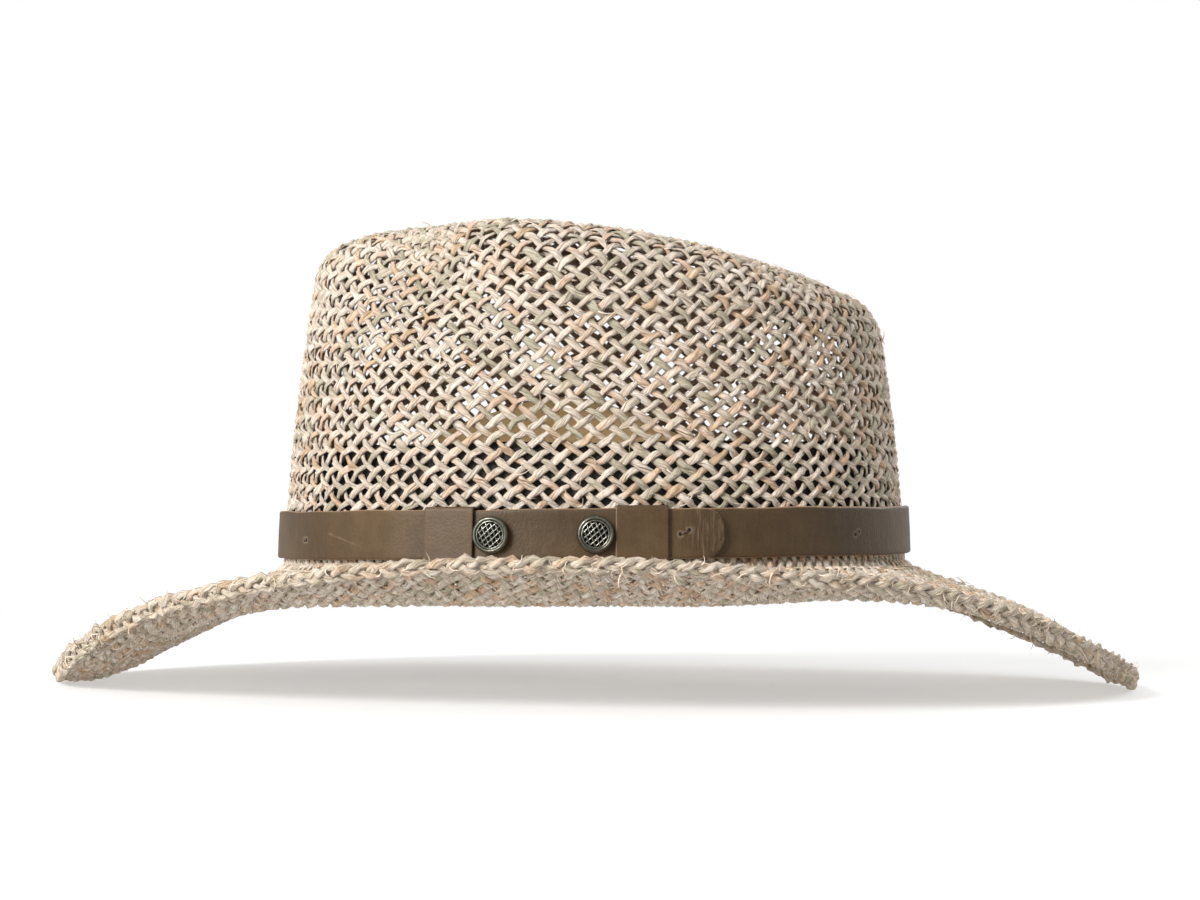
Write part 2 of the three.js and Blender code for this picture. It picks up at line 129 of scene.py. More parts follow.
# The braid round the brim
BRAID_WAVES = 60
BRAID_STEPS = 12
BRAID_HALF_WIDTH = 1.8
BRAID_HALF_DEPTH = 0.9
BRAID_STRAND = 2.4
BRAID_DROP = 0.9
BRAID_LEAST_HEIGHT = 3.0

# A strand's two plies turn once in this length, in metres, from a turn set by its tint
STRAND_LAY = 0.024
TURN_BY_TINT = 90.0

SEED = 7
for_fibres = {}
luck = np.random.default_rng(SEED)

# Height of the crown's top line by its reach along the hat, as in the model.
TOP_LINE = [
    (-1.0, 0.964), (-0.83, 0.966), (-0.64, 0.983), (-0.5, 0.989), (-0.29, 1.0), (0.0, 0.978),
    (0.27, 0.936), (0.53, 0.876), (0.66, 0.845), (0.79, 0.812), (1.0, 0.804),
]
# The shoulder by degrees from the front: roll inwards and drop downwards.
SHOULDER = [(0, 0.7, 0.82), (45, 0.88, 0.95), (90, 1.0, 1.0), (135, 0.88, 0.97), (180, 0.68, 0.94)]
# The dent in the top by its reach along the hat: width and depth.
TEARDROP = [
    (-0.72, 0.25, 0.0), (-0.55, 0.35, 0.35), (-0.3, 0.6, 0.85), (0.0, 0.85, 1.0),
    (0.3, 0.95, 0.95), (0.55, 0.78, 0.6), (0.75, 0.45, 0.0),
]
# The brim by degrees from the front: lift of its edge, sag, and where the sag is deepest.
BRIM = [
    (0, 0.0, 0.66, 0.7), (15, 0.12, 0.64, 0.68), (30, 0.41, 0.58, 0.6), (45, 0.69, 0.62, 0.5),
    (60, 0.87, 0.82, 0.45), (75, 0.98, 0.97, 0.42), (90, 1.0, 1.0, 0.42), (105, 0.94, 0.9, 0.42),
    (120, 0.84, 0.58, 0.43), (135, 0.61, 0.25, 0.46), (150, 0.34, 0.0, 0.52),
    (165, 0.12, -0.3, 0.56), (180, 0.0, -0.52, 0.6),
]


# The hat's form


def read(table, column, at):
    """Reads a column of a table between its rows, smoothly and with no overshoot."""
    keys = np.array([row[0] for row in table], float)
    values = np.array([row[column] for row in table], float)
    steps = np.diff(keys)
    slopes = np.diff(values) / steps
    before, after = slopes[:-1], slopes[1:]
    same_way = before * after > 0
    tangents = np.zeros(len(keys))
    tangents[1:-1][same_way] = (2 * before * after)[same_way] / (before + after)[same_way]
    at = np.clip(at, keys[0], keys[-1])
    row = np.clip(np.searchsorted(keys, at, side="right") - 1, 0, len(steps) - 1)
    t = (at - keys[row]) / steps[row]
    return (
        values[row] * (1 + 2 * t) * (1 - t) ** 2
        + values[row + 1] * t * t * (3 - 2 * t)
        + steps[row] * tangents[row] * t * (1 - t) ** 2
        - steps[row] * tangents[row + 1] * t * t * (1 - t)
    )


def smooth(value, low, high):
    t = np.clip((value - low) / (high - low), 0, 1)
    return t * t * (3 - 2 * t)


def from_front(angle):
    """Degrees away from the front, 0 to 180, on either side."""
    degrees = np.degrees(angle) % 360
    return np.minimum(degrees, 360 - degrees)


def oval(angle, front, back, side, squareness):
    along, across = np.cos(angle), np.sin(angle)
    power = 2 / squareness
    x = side * np.sign(across) * np.abs(across) ** power
    y = -np.where(along > 0, front, back) * np.sign(along) * np.abs(along) ** power
    return x, y


def angle_at(y):
    """The angle at which the crown's root reaches a distance y along the hat."""
    share = abs(y) / (CROWN_FRONT if y < 0 else CROWN_BACK)
    return math.acos(-math.copysign(1, y) * share ** (OVAL_SQUARENESS / 2))


def root_height(y):
    return BRIM_ROOT_HEIGHT + BRIM_ROOT_TILT * y


def reach(y):
    return np.where(y < 0, y / CROWN_FRONT, y / CROWN_BACK)


def top_height(y):
    return BRIM_ROOT_HEIGHT + CROWN_HEIGHT * read(TOP_LINE, 1, reach(y))


def wall_plan(angle, share, outwards):
    lean = np.maximum(share, 0) ** LEAN_CURVE
    return oval(
        angle,
        CROWN_FRONT - FRONT_LEAN * lean + outwards,
        CROWN_BACK - BACK_LEAN * lean + outwards,
        CROWN_HALF_WIDTH - SIDE_LEAN * lean + outwards,
        OVAL_SQUARENESS,
    )


def wall_top(angle):
    drop = SHOULDER_DROP * read(SHOULDER, 2, from_front(angle))
    return top_height(wall_plan(angle, 1, -STRAW_WALL / 2)[1]) - STRAW_WALL / 2 - drop


def pinched(points):
    """Presses in both sides of the front, where fingers pinch the crown."""
    x, y, z = points[..., 0], points[..., 1], points[..., 2]
    along = (y + PINCH_FROM_CENTRE) / PINCH_LENGTH
    up = (z - BRIM_ROOT_HEIGHT - PINCH_ABOVE_ROOT) / PINCH_RISE
    fade = smooth(np.abs(x), 0, PINCH_FADE)
    press = PINCH_DEPTH * np.exp(-along * along - up * up) * fade
    return np.stack([x - np.sign(x) * press, y, z], axis=-1)


def wall_middle(angle, share):
    x, y = wall_plan(angle, share, -STRAW_WALL / 2)
    bottom = root_height(wall_plan(angle, 0, -STRAW_WALL / 2)[1])
    z = bottom + (wall_top(angle) - bottom) * share
    return pinched(np.stack([x, y, z], axis=-1))


def shoulder_middle(angle, degrees):
    """The rounding over the wall's top, 0 degrees at the wall and 90 on the ridge."""
    x, y = wall_plan(angle, 1, -STRAW_WALL / 2)
    turn = math.radians(degrees)
    roll = SHOULDER_ROLL * read(SHOULDER, 1, from_front(angle))
    drop = SHOULDER_DROP * read(SHOULDER, 2, from_front(angle))
    shrink = 1 - roll * (1 - math.cos(turn)) / np.hypot(x, y)
    x, y = x * shrink, y * shrink
    z = top_height(y) - STRAW_WALL / 2 - drop * (1 - math.sin(turn))
    return pinched(np.stack([x, y, z], axis=-1))


def top_middle(angle, share):
    """The top with its dent, 1 on the ridge and 0 in the middle."""
    ridge = shoulder_middle(angle, 90)
    x, y = ridge[..., 0] * share, ridge[..., 1] * share
    width = DENT_HALF_WIDTH * read(TEARDROP, 1, reach(y))
    depth = DENT_DEPTH * read(TEARDROP, 2, reach(y))
    dent = depth * (1 + np.cos(np.pi * np.minimum(np.abs(x) / width, 1))) / 2
    return np.stack([x, y, top_height(y) - STRAW_WALL / 2 - dent], axis=-1)


def edge_middle(angle):
    """The middle line of the brim's braided edge."""
    rest = math.degrees(math.asin(REST_HALF_WIDTH / (CROWN_HALF_WIDTH + BRIM_SIDE)))
    degrees = from_front(angle)
    resting = np.minimum(degrees, 180 - degrees) < rest
    lift = np.where(resting, 0, read(BRIM, 1, degrees))
    half = EDGE_THICKNESS / 2
    x, y = oval(
        angle,
        CROWN_FRONT + BRIM_FRONT - half,
        CROWN_BACK + BRIM_BACK - half,
        CROWN_HALF_WIDTH + BRIM_SIDE - half,
        2,
    )
    return np.stack([x, y, half + BRIM_EDGE_LIFT * lift], axis=-1)


def brim_middle(angle, share):
    """The middle of the brim, 0 at the crown's root and 1 at the braided edge."""
    x, y = wall_plan(angle, 0, -STRAW_WALL / 2)
    root = np.stack([x, y, root_height(y) - BAND_ABOVE_ROOT], axis=-1)
    deepest = read(BRIM, 3, from_front(angle))
    sag = BRIM_SAG * read(BRIM, 2, from_front(angle))
    rise = (share / deepest) ** (SAG_SHARPNESS * deepest)
    fall = ((1 - share) / (1 - deepest)) ** (SAG_SHARPNESS * (1 - deepest))
    point = root + (edge_middle(angle) - root) * np.asarray(share)[..., None]
    point[..., 2] -= sag * rise * fall
    return point


def beside_wall(angle, above_root, off_face):
    """A point beside the crown wall, above its root and off its outer face."""
    root_y = wall_plan(angle, 0, 0)[1]
    share = above_root / (wall_top(angle) - root_height(root_y))
    x, y = wall_plan(angle, share, 0)
    normal = wall_normal(angle)
    place = np.stack([x, y, root_height(root_y) + above_root + 0 * x], axis=-1)
    return place + normal * np.asarray(off_face)[..., None]


def wall_along(angle):
    step = 0.01
    ahead, behind = wall_plan(angle + step, 0, 0), wall_plan(angle - step, 0, 0)
    return np.stack([ahead[0] - behind[0], ahead[1] - behind[1]], axis=-1) / (2 * step)


def wall_normal(angle):
    along = wall_along(angle)
    normal = np.stack([along[..., 1], -along[..., 0], 0 * along[..., 0]], axis=-1)
    return normal / np.linalg.norm(normal, axis=-1, keepdims=True)


def turn_over(distance, angle):
    """The turn that covers a distance along the crown wall's face at an angle."""
    return distance / float(np.linalg.norm(wall_along(np.float64(angle))))


def band_off_face(angle, start, end):
    """How far the band's inner face stands off the crown, as in the model."""
    ease = turn_over(BAND_EASE, start)
    loops_back = LOOP_GAP * 2 + LOOP_WALL
    leaving = 1 - smooth(angle, end - 2 * np.pi, end - 2 * np.pi + ease)
    arriving = smooth(angle, start + 2 * np.pi - 2 * ease, start + 2 * np.pi - ease)
    outer_layer = loops_back + LEATHER + LAYER_GAP
    return BAND_GAP + leaving * (loops_back - BAND_GAP) + arriving * (outer_layer - BAND_GAP)


def even_angles(count):
    """Angles at equal distances round the crown's root, from the front over the +X side."""
    fine = np.linspace(0, 2 * np.pi, 4001)
    x, y = wall_plan(fine, 0, -STRAW_WALL / 2)
    along = np.concatenate([[0], np.cumsum(np.hypot(np.diff(x), np.diff(y)))])
    return np.interp(np.arange(count) / count * along[-1], along, fine)


def evenly(lines, count):
    """Redraws each line with points at equal distances along it."""
    gaps = np.linalg.norm(np.diff(lines, axis=1), axis=2)
    redrawn = np.empty((len(lines), count, 3))
    for index, (line, gap) in enumerate(zip(lines, gaps)):
        along = np.concatenate([[0], np.cumsum(gap)])
        marks = np.linspace(0, along[-1], count)
        for axis in range(3):
            redrawn[index, :, axis] = np.interp(marks, along, line[:, axis])
    return redrawn


def crown_sheet(columns, rows, from_root):
    """The crown's middle as lines from beside the band up to the middle of its top."""
    angle = even_angles(columns)
    foot = from_root / (wall_top(angle) - root_height(wall_plan(angle, 0, 0)[1]))
    lines = [wall_middle(angle, foot + (1 - foot) * share) for share in np.linspace(0, 1, 40)]
    lines += [shoulder_middle(angle, degrees) for degrees in np.linspace(0, 90, 16)[1:]]
    lines += [top_middle(angle, share) for share in np.linspace(1, 0, 36)[1:]]
    return evenly(np.stack(lines, axis=1), rows)


def brim_sheet(columns, rows, from_root):
    """The brim's middle as lines from behind the band down and out to the braided edge."""
    angle = even_angles(columns)
    wall = wall_top(angle) - root_height(wall_plan(angle, 0, 0)[1])
    foot = (BRIM_ROOT_BEND - BAND_ABOVE_ROOT) / wall
    lines = []
    for share in np.linspace(1, 0, 12):
        lines.append(wall_middle(angle, foot + (from_root / wall - foot) * share))
    corner = brim_middle(angle, 0)
    span = np.linalg.norm(edge_middle(angle) - corner, axis=1)
    near = brim_middle(angle, BRIM_ROOT_BEND / span)
    for t in np.linspace(0, 1, 10)[1:]:
        lines.append(lines[11] * (1 - t) ** 2 + corner * 2 * t * (1 - t) + near * t * t)
    far = 1 - 1.2 / span
    for share in np.linspace(0, 1, 60)[1:]:
        lines.append(brim_middle(angle, BRIM_ROOT_BEND / span * (1 - share) + far * share))
    return evenly(np.stack(lines, axis=1), rows)


def facing(sheet, side):
    """The outward direction at every point of a sheet of lines."""
    around = np.roll(sheet, -1, axis=0) - np.roll(sheet, 1, axis=0)
    upwards = np.gradient(sheet, axis=1)
    normal = side * np.cross(around, upwards)
    length = np.linalg.norm(normal, axis=-1, keepdims=True)
    flat = np.where(length < 1e-9, [0.0, 0.0, 1.0], normal)
    return flat / np.maximum(np.linalg.norm(flat, axis=-1, keepdims=True), 1e-9)


def on_sheet(sheet, turns, shares):
    """Reads a sheet of lines at shares of a full turn and of a line's length."""
    columns, rows = sheet.shape[:2]
    column = np.mod(turns, 1) * columns
    row = np.clip(shares, 0, 1) * (rows - 1)
    left = np.floor(column).astype(int)
    low = np.minimum(np.floor(row).astype(int), rows - 2)
    c, r = (column - left)[..., None], (row - low)[..., None]
    left, right = left % columns, (left + 1) % columns
    below = sheet[left, low] * (1 - c) + sheet[right, low] * c
    above = sheet[left, low + 1] * (1 - c) + sheet[right, low + 1] * c
    return below * (1 - r) + above * r


# Plaiting


def crown_net():
    """The crossings of the crown's strands: a square of meshes on top, let down into a tube.

    Returns each crossing's place by its key and, for each strand, the keys it passes with
    +1 where it lies over and -1 where it lies under.
    """
    side = 2 * MESHES_ON_A_SIDE
    corner_turn = 0.125
    places = {}
    for row in range(CROWN_ROWS):
        for step in range(row % 2, 4 * side, 2):
            places["wall", step, row] = (step / (4 * side) + corner_turn, row / CROWN_ROWS * 0.6)
    for p in range(side + 1):
        for q in range(side + 1):
            if (p + q) % 2:
                a, b = p / MESHES_ON_A_SIDE - 1, q / MESHES_ON_A_SIDE - 1
                x, y = a * math.sqrt(1 - b * b / 2), b * math.sqrt(1 - a * a / 2)
                turn = (math.atan2(y, x) + math.pi * 0.75) / (2 * math.pi) + corner_turn
                places["top", p, q] = (turn, 1 - 0.4 * math.hypot(x, y))

    def to_top(step, way):
        edge, along = divmod(step, side)
        point = [(along, 0), (side, along), (side - along, side), (0, side - along)][edge]
        return point, [(way, 1), (-1, way), (-way, -1), (1, -way)][edge]

    def to_wall(p, q, dp, dq):
        if q == 0:
            return p, dp
        if p == side:
            return side + q, dq
        if q == side:
            return 2 * side + side - p, -dp
        return 3 * side + side - q, -dq

    strands = []
    done = set()
    for start in range(0, 4 * side, 2):
        for way in (1, -1):
            if (start, way) in done:
                continue
            path = []
            step = start
            for row in range(CROWN_ROWS):
                path.append((("wall", step, row), way if row % 2 == 0 else -way))
                step = (step + way) % (4 * side)
            (p, q), (dp, dq) = to_top(step, way)
            while True:
                path.append((("top", p, q), dp * dq * (1 if p % 2 == 0 else -1)))
                if len(path) > CROWN_ROWS + 1 and (p in (0, side) or q in (0, side)):
                    break
                p, q = p + dp, q + dq
            step, way_down = to_wall(p, q, dp, dq)
            for row in range(CROWN_ROWS - 1, -1, -1):
                step = (step + way_down) % (4 * side)
                path.append((("wall", step, row), -way_down if row % 2 == 0 else way_down))
            done.add((start, way))
            done.add((step, -way_down))
            strands.append(path)
    return places, strands


def settle(sheet, places, strands, rounds):
    """Lets the crossings slide on the sheet until each lies midway between its neighbours."""
    keys = list(places)
    index = {key: number for number, key in enumerate(keys)}
    spots = np.array([places[key] for key in keys])
    rim = 1 - spots[:, 1]
    disc = np.stack([rim * np.cos(2 * np.pi * spots[:, 0]), rim * np.sin(2 * np.pi * spots[:, 0])], 1)
    links = np.array([
        (index[here], index[there])
        for path in strands for (here, _), (there, _) in zip(path, path[1:])
    ])
    fixed = np.array([key[0] == "wall" and key[2] == 0 for key in keys])
    count = np.bincount(links.ravel(), minlength=len(keys))[:, None]

    def place(points):
        turns = np.arctan2(points[:, 1], points[:, 0]) / (2 * np.pi)
        return on_sheet(sheet, turns, 1 - np.hypot(points[:, 0], points[:, 1]))

    nudge = 0.004
    for _ in range(rounds):
        here = place(disc)
        total = np.zeros_like(here)
        np.add.at(total, links[:, 0], here[links[:, 1]])
        np.add.at(total, links[:, 1], here[links[:, 0]])
        wanted = total / count - here
        east = (place(disc + [nudge, 0]) - place(disc - [nudge, 0])) / (2 * nudge)
        north = (place(disc + [0, nudge]) - place(disc - [0, nudge])) / (2 * nudge)
        ee, en, nn = (east * east).sum(1), (east * north).sum(1), (north * north).sum(1)
        we, wn = (wanted * east).sum(1), (wanted * north).sum(1)
        det = np.maximum(ee * nn - en * en, 1e-6)
        move = np.stack([(we * nn - wn * en) / det, (wn * ee - we * en) / det], 1)
        move[fixed] = 0
        disc += 0.9 * move
        size = np.hypot(disc[:, 0], disc[:, 1])
        disc *= np.where((size > 0.998) & ~fixed, 0.998 / size, 1)[:, None]
    turns = np.arctan2(disc[:, 1], disc[:, 0]) / (2 * np.pi)
    shares = 1 - np.hypot(disc[:, 0], disc[:, 1])
    return {key: (turns[number], shares[number]) for key, number in index.items()}


def thread(points, faces, sides, widths, steps, closed=False, straight=0.0):
    """A line through a strand's crossings, with its facing, rise and width."""
    count = len(points)
    spans = count if closed else count - 1
    lines = []
    for span in range(spans):
        if closed:
            a, b, c, d = (points[(span + k) % count] for k in (-1, 0, 1, 2))
        else:
            a, b = points[max(span - 1, 0)], points[span]
            c, d = points[span + 1], points[min(span + 2, count - 1)]
        after = (span + 1) % count
        for step in range(steps):
            t = step / steps
            point = 0.5 * (
                2 * b + (c - a) * t + (2 * a - 5 * b + 4 * c - d) * t * t
                + (3 * b - a - 3 * c + d) * t ** 3
            )
            point = point * (1 - straight) + (b * (1 - t) + c * t) * straight
            ease = (1 - math.cos(math.pi * t)) / 2
            face = faces[span] * (1 - t) + faces[after] * t
            rise = sides[span] * (1 - ease) + sides[after] * ease
            width = widths[span] * (1 - t) + widths[after] * t
            lines.append((*point, *face, rise, width))
    if not closed:
        lines.append((*points[-1], *faces[-1], sides[-1], widths[-1]))
    return np.array(lines)


def weathered(strand, sway, tilt, swell):
    """Gives a strand small bends, turns of its flat side and changes of width."""
    count = len(strand)
    ahead = np.gradient(strand[:, :3], axis=0)
    ahead /= np.linalg.norm(ahead, axis=1, keepdims=True)
    side = np.cross(strand[:, 3:6], ahead)
    marks = np.arange(0, count + STEPS_TO_A_CROSSING, STEPS_TO_A_CROSSING)
    lean = np.interp(np.arange(count), marks, luck.normal(0, tilt, len(marks)))
    strand[:, :3] += side * luck.normal(0, sway, count)[:, None]
    strand[:, 3:6] += side * lean[:, None]
    strand[:, 7] *= 1 + swell * luck.normal(0, 1, count)
    return strand


def lines_mesh(name, strands, tints, closed=False):
    """Strands as lines of vertices that carry what the strand nodes read."""
    data = np.concatenate(strands)
    edges = []
    along = []
    tint = []
    start = 0
    for strand, value in zip(strands, tints):
        numbers = np.arange(start, start + len(strand))
        edges.append(np.stack([numbers[:-1], numbers[1:]], 1))
        if closed:
            edges.append([[numbers[-1], numbers[0]]])
        gaps = np.linalg.norm(np.diff(strand[:, :3], axis=0), axis=1)
        along.append(np.concatenate([[0], np.cumsum(gaps)]))
        tint.append(np.full(len(strand), value))
        start += len(strand)
    mesh = bpy.data.meshes.new(name)
    edges = np.concatenate(edges)
    mesh.vertices.add(len(data))
    mesh.vertices.foreach_set("co", (data[:, :3] * MM).ravel())
    mesh.edges.add(len(edges))
    mesh.edges.foreach_set("vertices", edges.ravel())
    face = data[:, 3:6] / np.linalg.norm(data[:, 3:6], axis=1, keepdims=True)
    ahead = np.concatenate([np.gradient(strand[:, :3], axis=0) for strand in strands])
    for key, vectors in (("face", face), ("ahead", ahead)):
        mesh.attributes.new(key, "FLOAT_VECTOR", "POINT").data.foreach_set("vector", vectors.ravel())
    columns = {
        "rise": data[:, 6], "width": data[:, 7] * MM,
        "along": np.concatenate(along) * MM, "tint": np.concatenate(tint),
    }
    for key, values in columns.items():
        mesh.attributes.new(key, "FLOAT", "POINT").data.foreach_set("value", values)
    mesh.update()
    for_fibres.setdefault(name.split("_")[0], []).append(mesh.copy())
    piece = bpy.data.objects.new(name, mesh)
    bpy.context.scene.collection.objects.link(piece)
    return piece


# Node trees


class Nodes:
    """Adds and links the nodes of one tree."""

    def __init__(self, tree):
        self.tree = tree

    def add(self, kind, **settings):
        node = self.tree.nodes.new(kind)
        for key, value in settings.items():
            setattr(node, key, value)
        return node

    def join(self, source, target):
        self.tree.links.new(source, target)

    def put(self, socket, value):
        if isinstance(value, bpy.types.NodeSocket):
            self.join(value, socket)
        else:
            socket.default_value = value

    def math(self, operation, first, second=None, third=None):
        node = self.add("ShaderNodeMath", operation=operation)
        for socket, value in zip(node.inputs, (first, second, third)):
            if value is not None:
                self.put(socket, value)
        return node.outputs[0]

    def vector(self, operation, first, second=None):
        node = self.add("ShaderNodeVectorMath", operation=operation)
        self.put(node.inputs[0], first)
        if second is not None:
            self.put(node.inputs["Scale"] if operation == "SCALE" else node.inputs[1], second)
        return node.outputs[0]


def geometry_tree(name, inputs):
    tree = bpy.data.node_groups.new(name, "GeometryNodeTree")
    tree.interface.new_socket("Geometry", in_out="OUTPUT", socket_type="NodeSocketGeometry")
    tree.interface.new_socket("Geometry", in_out="INPUT", socket_type="NodeSocketGeometry")
    for label, kind in inputs:
        tree.interface.new_socket(label, in_out="INPUT", socket_type="NodeSocket" + kind)
    nodes = Nodes(tree)
    return nodes, nodes.add("NodeGroupInput"), nodes.add("NodeGroupOutput")


def named(nodes, name, kind="FLOAT"):
    node = nodes.add("GeometryNodeInputNamedAttribute", data_type=kind)
    node.inputs["Name"].default_value = name
    return node.outputs[0]


def stored(nodes, geometry, name, value, domain="POINT"):
    node = nodes.add("GeometryNodeStoreNamedAttribute", data_type="FLOAT", domain=domain)
    nodes.join(geometry, node.inputs["Geometry"])
    node.inputs["Name"].default_value = name
    nodes.put(node.inputs["Value"], value)
    return node.outputs[0]


def finished(nodes, geometry, material, output):
    """Ends a tree: instances made real, smooth shading, and the material."""
    real = nodes.add("GeometryNodeRealizeInstances")
    soft = nodes.add("GeometryNodeSetShadeSmooth")
    coat = nodes.add("GeometryNodeSetMaterial")
    nodes.join(geometry, real.inputs[0])
    nodes.join(real.outputs[0], soft.inputs["Geometry"])
    nodes.join(soft.outputs[0], coat.inputs["Geometry"])
    nodes.join(material, coat.inputs["Material"])
    nodes.join(coat.outputs[0], output.inputs[0])


def strand_tree():
    """Lays a flattened, twisted strand along each line, over and under by its rise."""
    nodes, start, end = geometry_tree("laid_strands", [
        ("Flatness", "Float"), ("Weave rise", "Float"), ("Groove depth", "Float"),
        ("Lay length", "Float"), ("Roughness", "Float"), ("Sides", "Int"), ("Material", "Material"),
    ])
    face = named(nodes, "face", "FLOAT_VECTOR")
    lift = nodes.math("MULTIPLY", named(nodes, "rise"), start.outputs["Weave rise"])
    raised = nodes.add("GeometryNodeSetPosition")
    nodes.join(start.outputs["Geometry"], raised.inputs["Geometry"])
    nodes.join(nodes.vector("SCALE", face, lift), raised.inputs["Offset"])
    curve = nodes.add("GeometryNodeMeshToCurve")
    nodes.join(raised.outputs[0], curve.inputs[0])
    turned = nodes.add("GeometryNodeSetCurveNormal", mode="FREE")
    nodes.join(curve.outputs[0], turned.inputs["Curve"])
    nodes.join(face, turned.inputs["Normal"])

    ring = nodes.add("GeometryNodeCurvePrimitiveCircle")
    nodes.join(start.outputs["Sides"], ring.inputs["Resolution"])
    ring.inputs["Radius"].default_value = 1.0
    parts = nodes.add("ShaderNodeSeparateXYZ")
    nodes.join(nodes.add("GeometryNodeInputPosition").outputs[0], parts.inputs[0])
    across = stored(nodes, ring.outputs["Curve"], "across", parts.outputs[1])
    squash = nodes.add("ShaderNodeCombineXYZ")
    nodes.join(nodes.math("MULTIPLY", parts.outputs[0], start.outputs["Flatness"]), squash.inputs[0])
    nodes.join(parts.outputs[1], squash.inputs[1])
    profile = nodes.add("GeometryNodeSetPosition")
    nodes.join(across, profile.inputs["Geometry"])
    nodes.join(squash.outputs[0], profile.inputs["Position"])

    tube = nodes.add("GeometryNodeCurveToMesh")
    nodes.join(turned.outputs[0], tube.inputs["Curve"])
    nodes.join(profile.outputs[0], tube.inputs["Profile Curve"])
    nodes.join(nodes.math("MULTIPLY", named(nodes, "width"), 0.5), tube.inputs["Scale"])
    tube.inputs["Fill Caps"].default_value = True

    laps = nodes.math("DIVIDE", named(nodes, "along"), start.outputs["Lay length"])
    first_turn = nodes.math("MULTIPLY", named(nodes, "tint"), TURN_BY_TINT)
    twist = nodes.math("MULTIPLY_ADD", laps, 2 * math.pi, first_turn)
    ply = nodes.math("SINE", nodes.math("ADD", nodes.math("ARCSINE", named(nodes, "across")), twist))
    bell = nodes.math("EXPONENT", nodes.math("MULTIPLY", nodes.math("MULTIPLY", ply, ply), -7.0))
    depth = nodes.math("MULTIPLY", nodes.math("MULTIPLY", bell, start.outputs["Groove depth"]), -1.0)
    lumps = nodes.add("ShaderNodeTexNoise")
    lumps.inputs["Scale"].default_value = 520.0
    lumps.inputs["Detail"].default_value = 1.0
    uneven = nodes.math("SUBTRACT", lumps.outputs[0], 0.5)
    depth = nodes.math("MULTIPLY_ADD", uneven, start.outputs["Roughness"], depth)
    grooved = nodes.add("GeometryNodeSetPosition")
    normal = nodes.add("GeometryNodeInputNormal").outputs[0]
    nodes.join(tube.outputs[0], grooved.inputs["Geometry"])
    nodes.join(nodes.vector("SCALE", normal, depth), grooved.inputs["Offset"])
    outward = nodes.vector("DOT_PRODUCT", normal, face).node.outputs["Value"]
    sided = stored(nodes, grooved.outputs[0], "inner", nodes.math("MULTIPLY_ADD", outward, -0.5, 0.5))
    finished(nodes, sided, start.outputs["Material"], end)
    return nodes.tree


def grown(piece, tree, **inputs):
    """Gives a piece a node tree with its inputs set, and turns the result into a plain mesh."""
    growth = piece.modifiers.new("growth", "NODES")
    growth.node_group = tree
    for item in tree.interface.items_tree:
        key = item.name.replace(" ", "_").lower()
        if item.item_type == "SOCKET" and item.in_out == "INPUT" and key in inputs:
            growth[item.identifier] = inputs[key]
    scene_state = bpy.context.evaluated_depsgraph_get()
    scene_state.update()
    evaluated = piece.evaluated_get(scene_state)
    mesh = bpy.data.meshes.new_from_object(evaluated, depsgraph=scene_state)
    piece.modifiers.remove(growth)
    old = piece.data
    piece.data = mesh
    bpy.data.meshes.remove(old)
    mesh.name = piece.name
    return piece


# Materials

# Tack stitches through the band: place along the hat, height above the crown's root, length,
# slope, and 1 where they go through the outer layer.
TACKS = [(-92.3, 6.2, 1.5, 0.0, 0), (26.2, 8.1, 2.7, 0.22, 1), (81.4, 7.1, 1.7, 0.25, 0)]


# A faint scratch on the band: its two ends along the hat and above the floor.
SCRATCH = [(-86.0, 50.6), (-73.5, 46.0)]
SCRATCH_HALF_WIDTH = 0.45
PRICK_RADIUS = 0.62


def tack_line(tack, above, count):
    """Points along a tack stitch, a height above the leather, with the leather's facing."""
    y, height, length, slope, outer = tack
    start, end = angle_at(BAND_START), angle_at(BAND_END) + 2 * math.pi
    angle = angle_at(y)
    if outer or angle < start:
        angle += 2 * math.pi
    off = float(band_off_face(np.float64(angle), start, end)) + LEATHER + above
    reach_out = turn_over(length / 2, angle)
    spots = []
    for share in np.linspace(-1, 1, count):
        spots.append(beside_wall(
            np.float64(angle + share * reach_out), height + share * slope * length, off,
        ))
    return np.array(spots), wall_normal(np.float64(angle))


def pricks():
    """The holes at both ends of each tack stitch, as shader places with their radius."""
    return [
        (tuple(spot * MM), PRICK_RADIUS * MM)
        for tack in TACKS for spot in tack_line(tack, 0.0, 2)[0]
    ]


def srgb(red, green, blue):
    """A colour given in the 0 to 255 steps of a paint chart."""
    def linear(value):
        value /= 255
        return value / 12.92 if value <= 0.04045 else ((value + 0.055) / 1.055) ** 2.4
    return (linear(red), linear(green), linear(blue), 1.0)


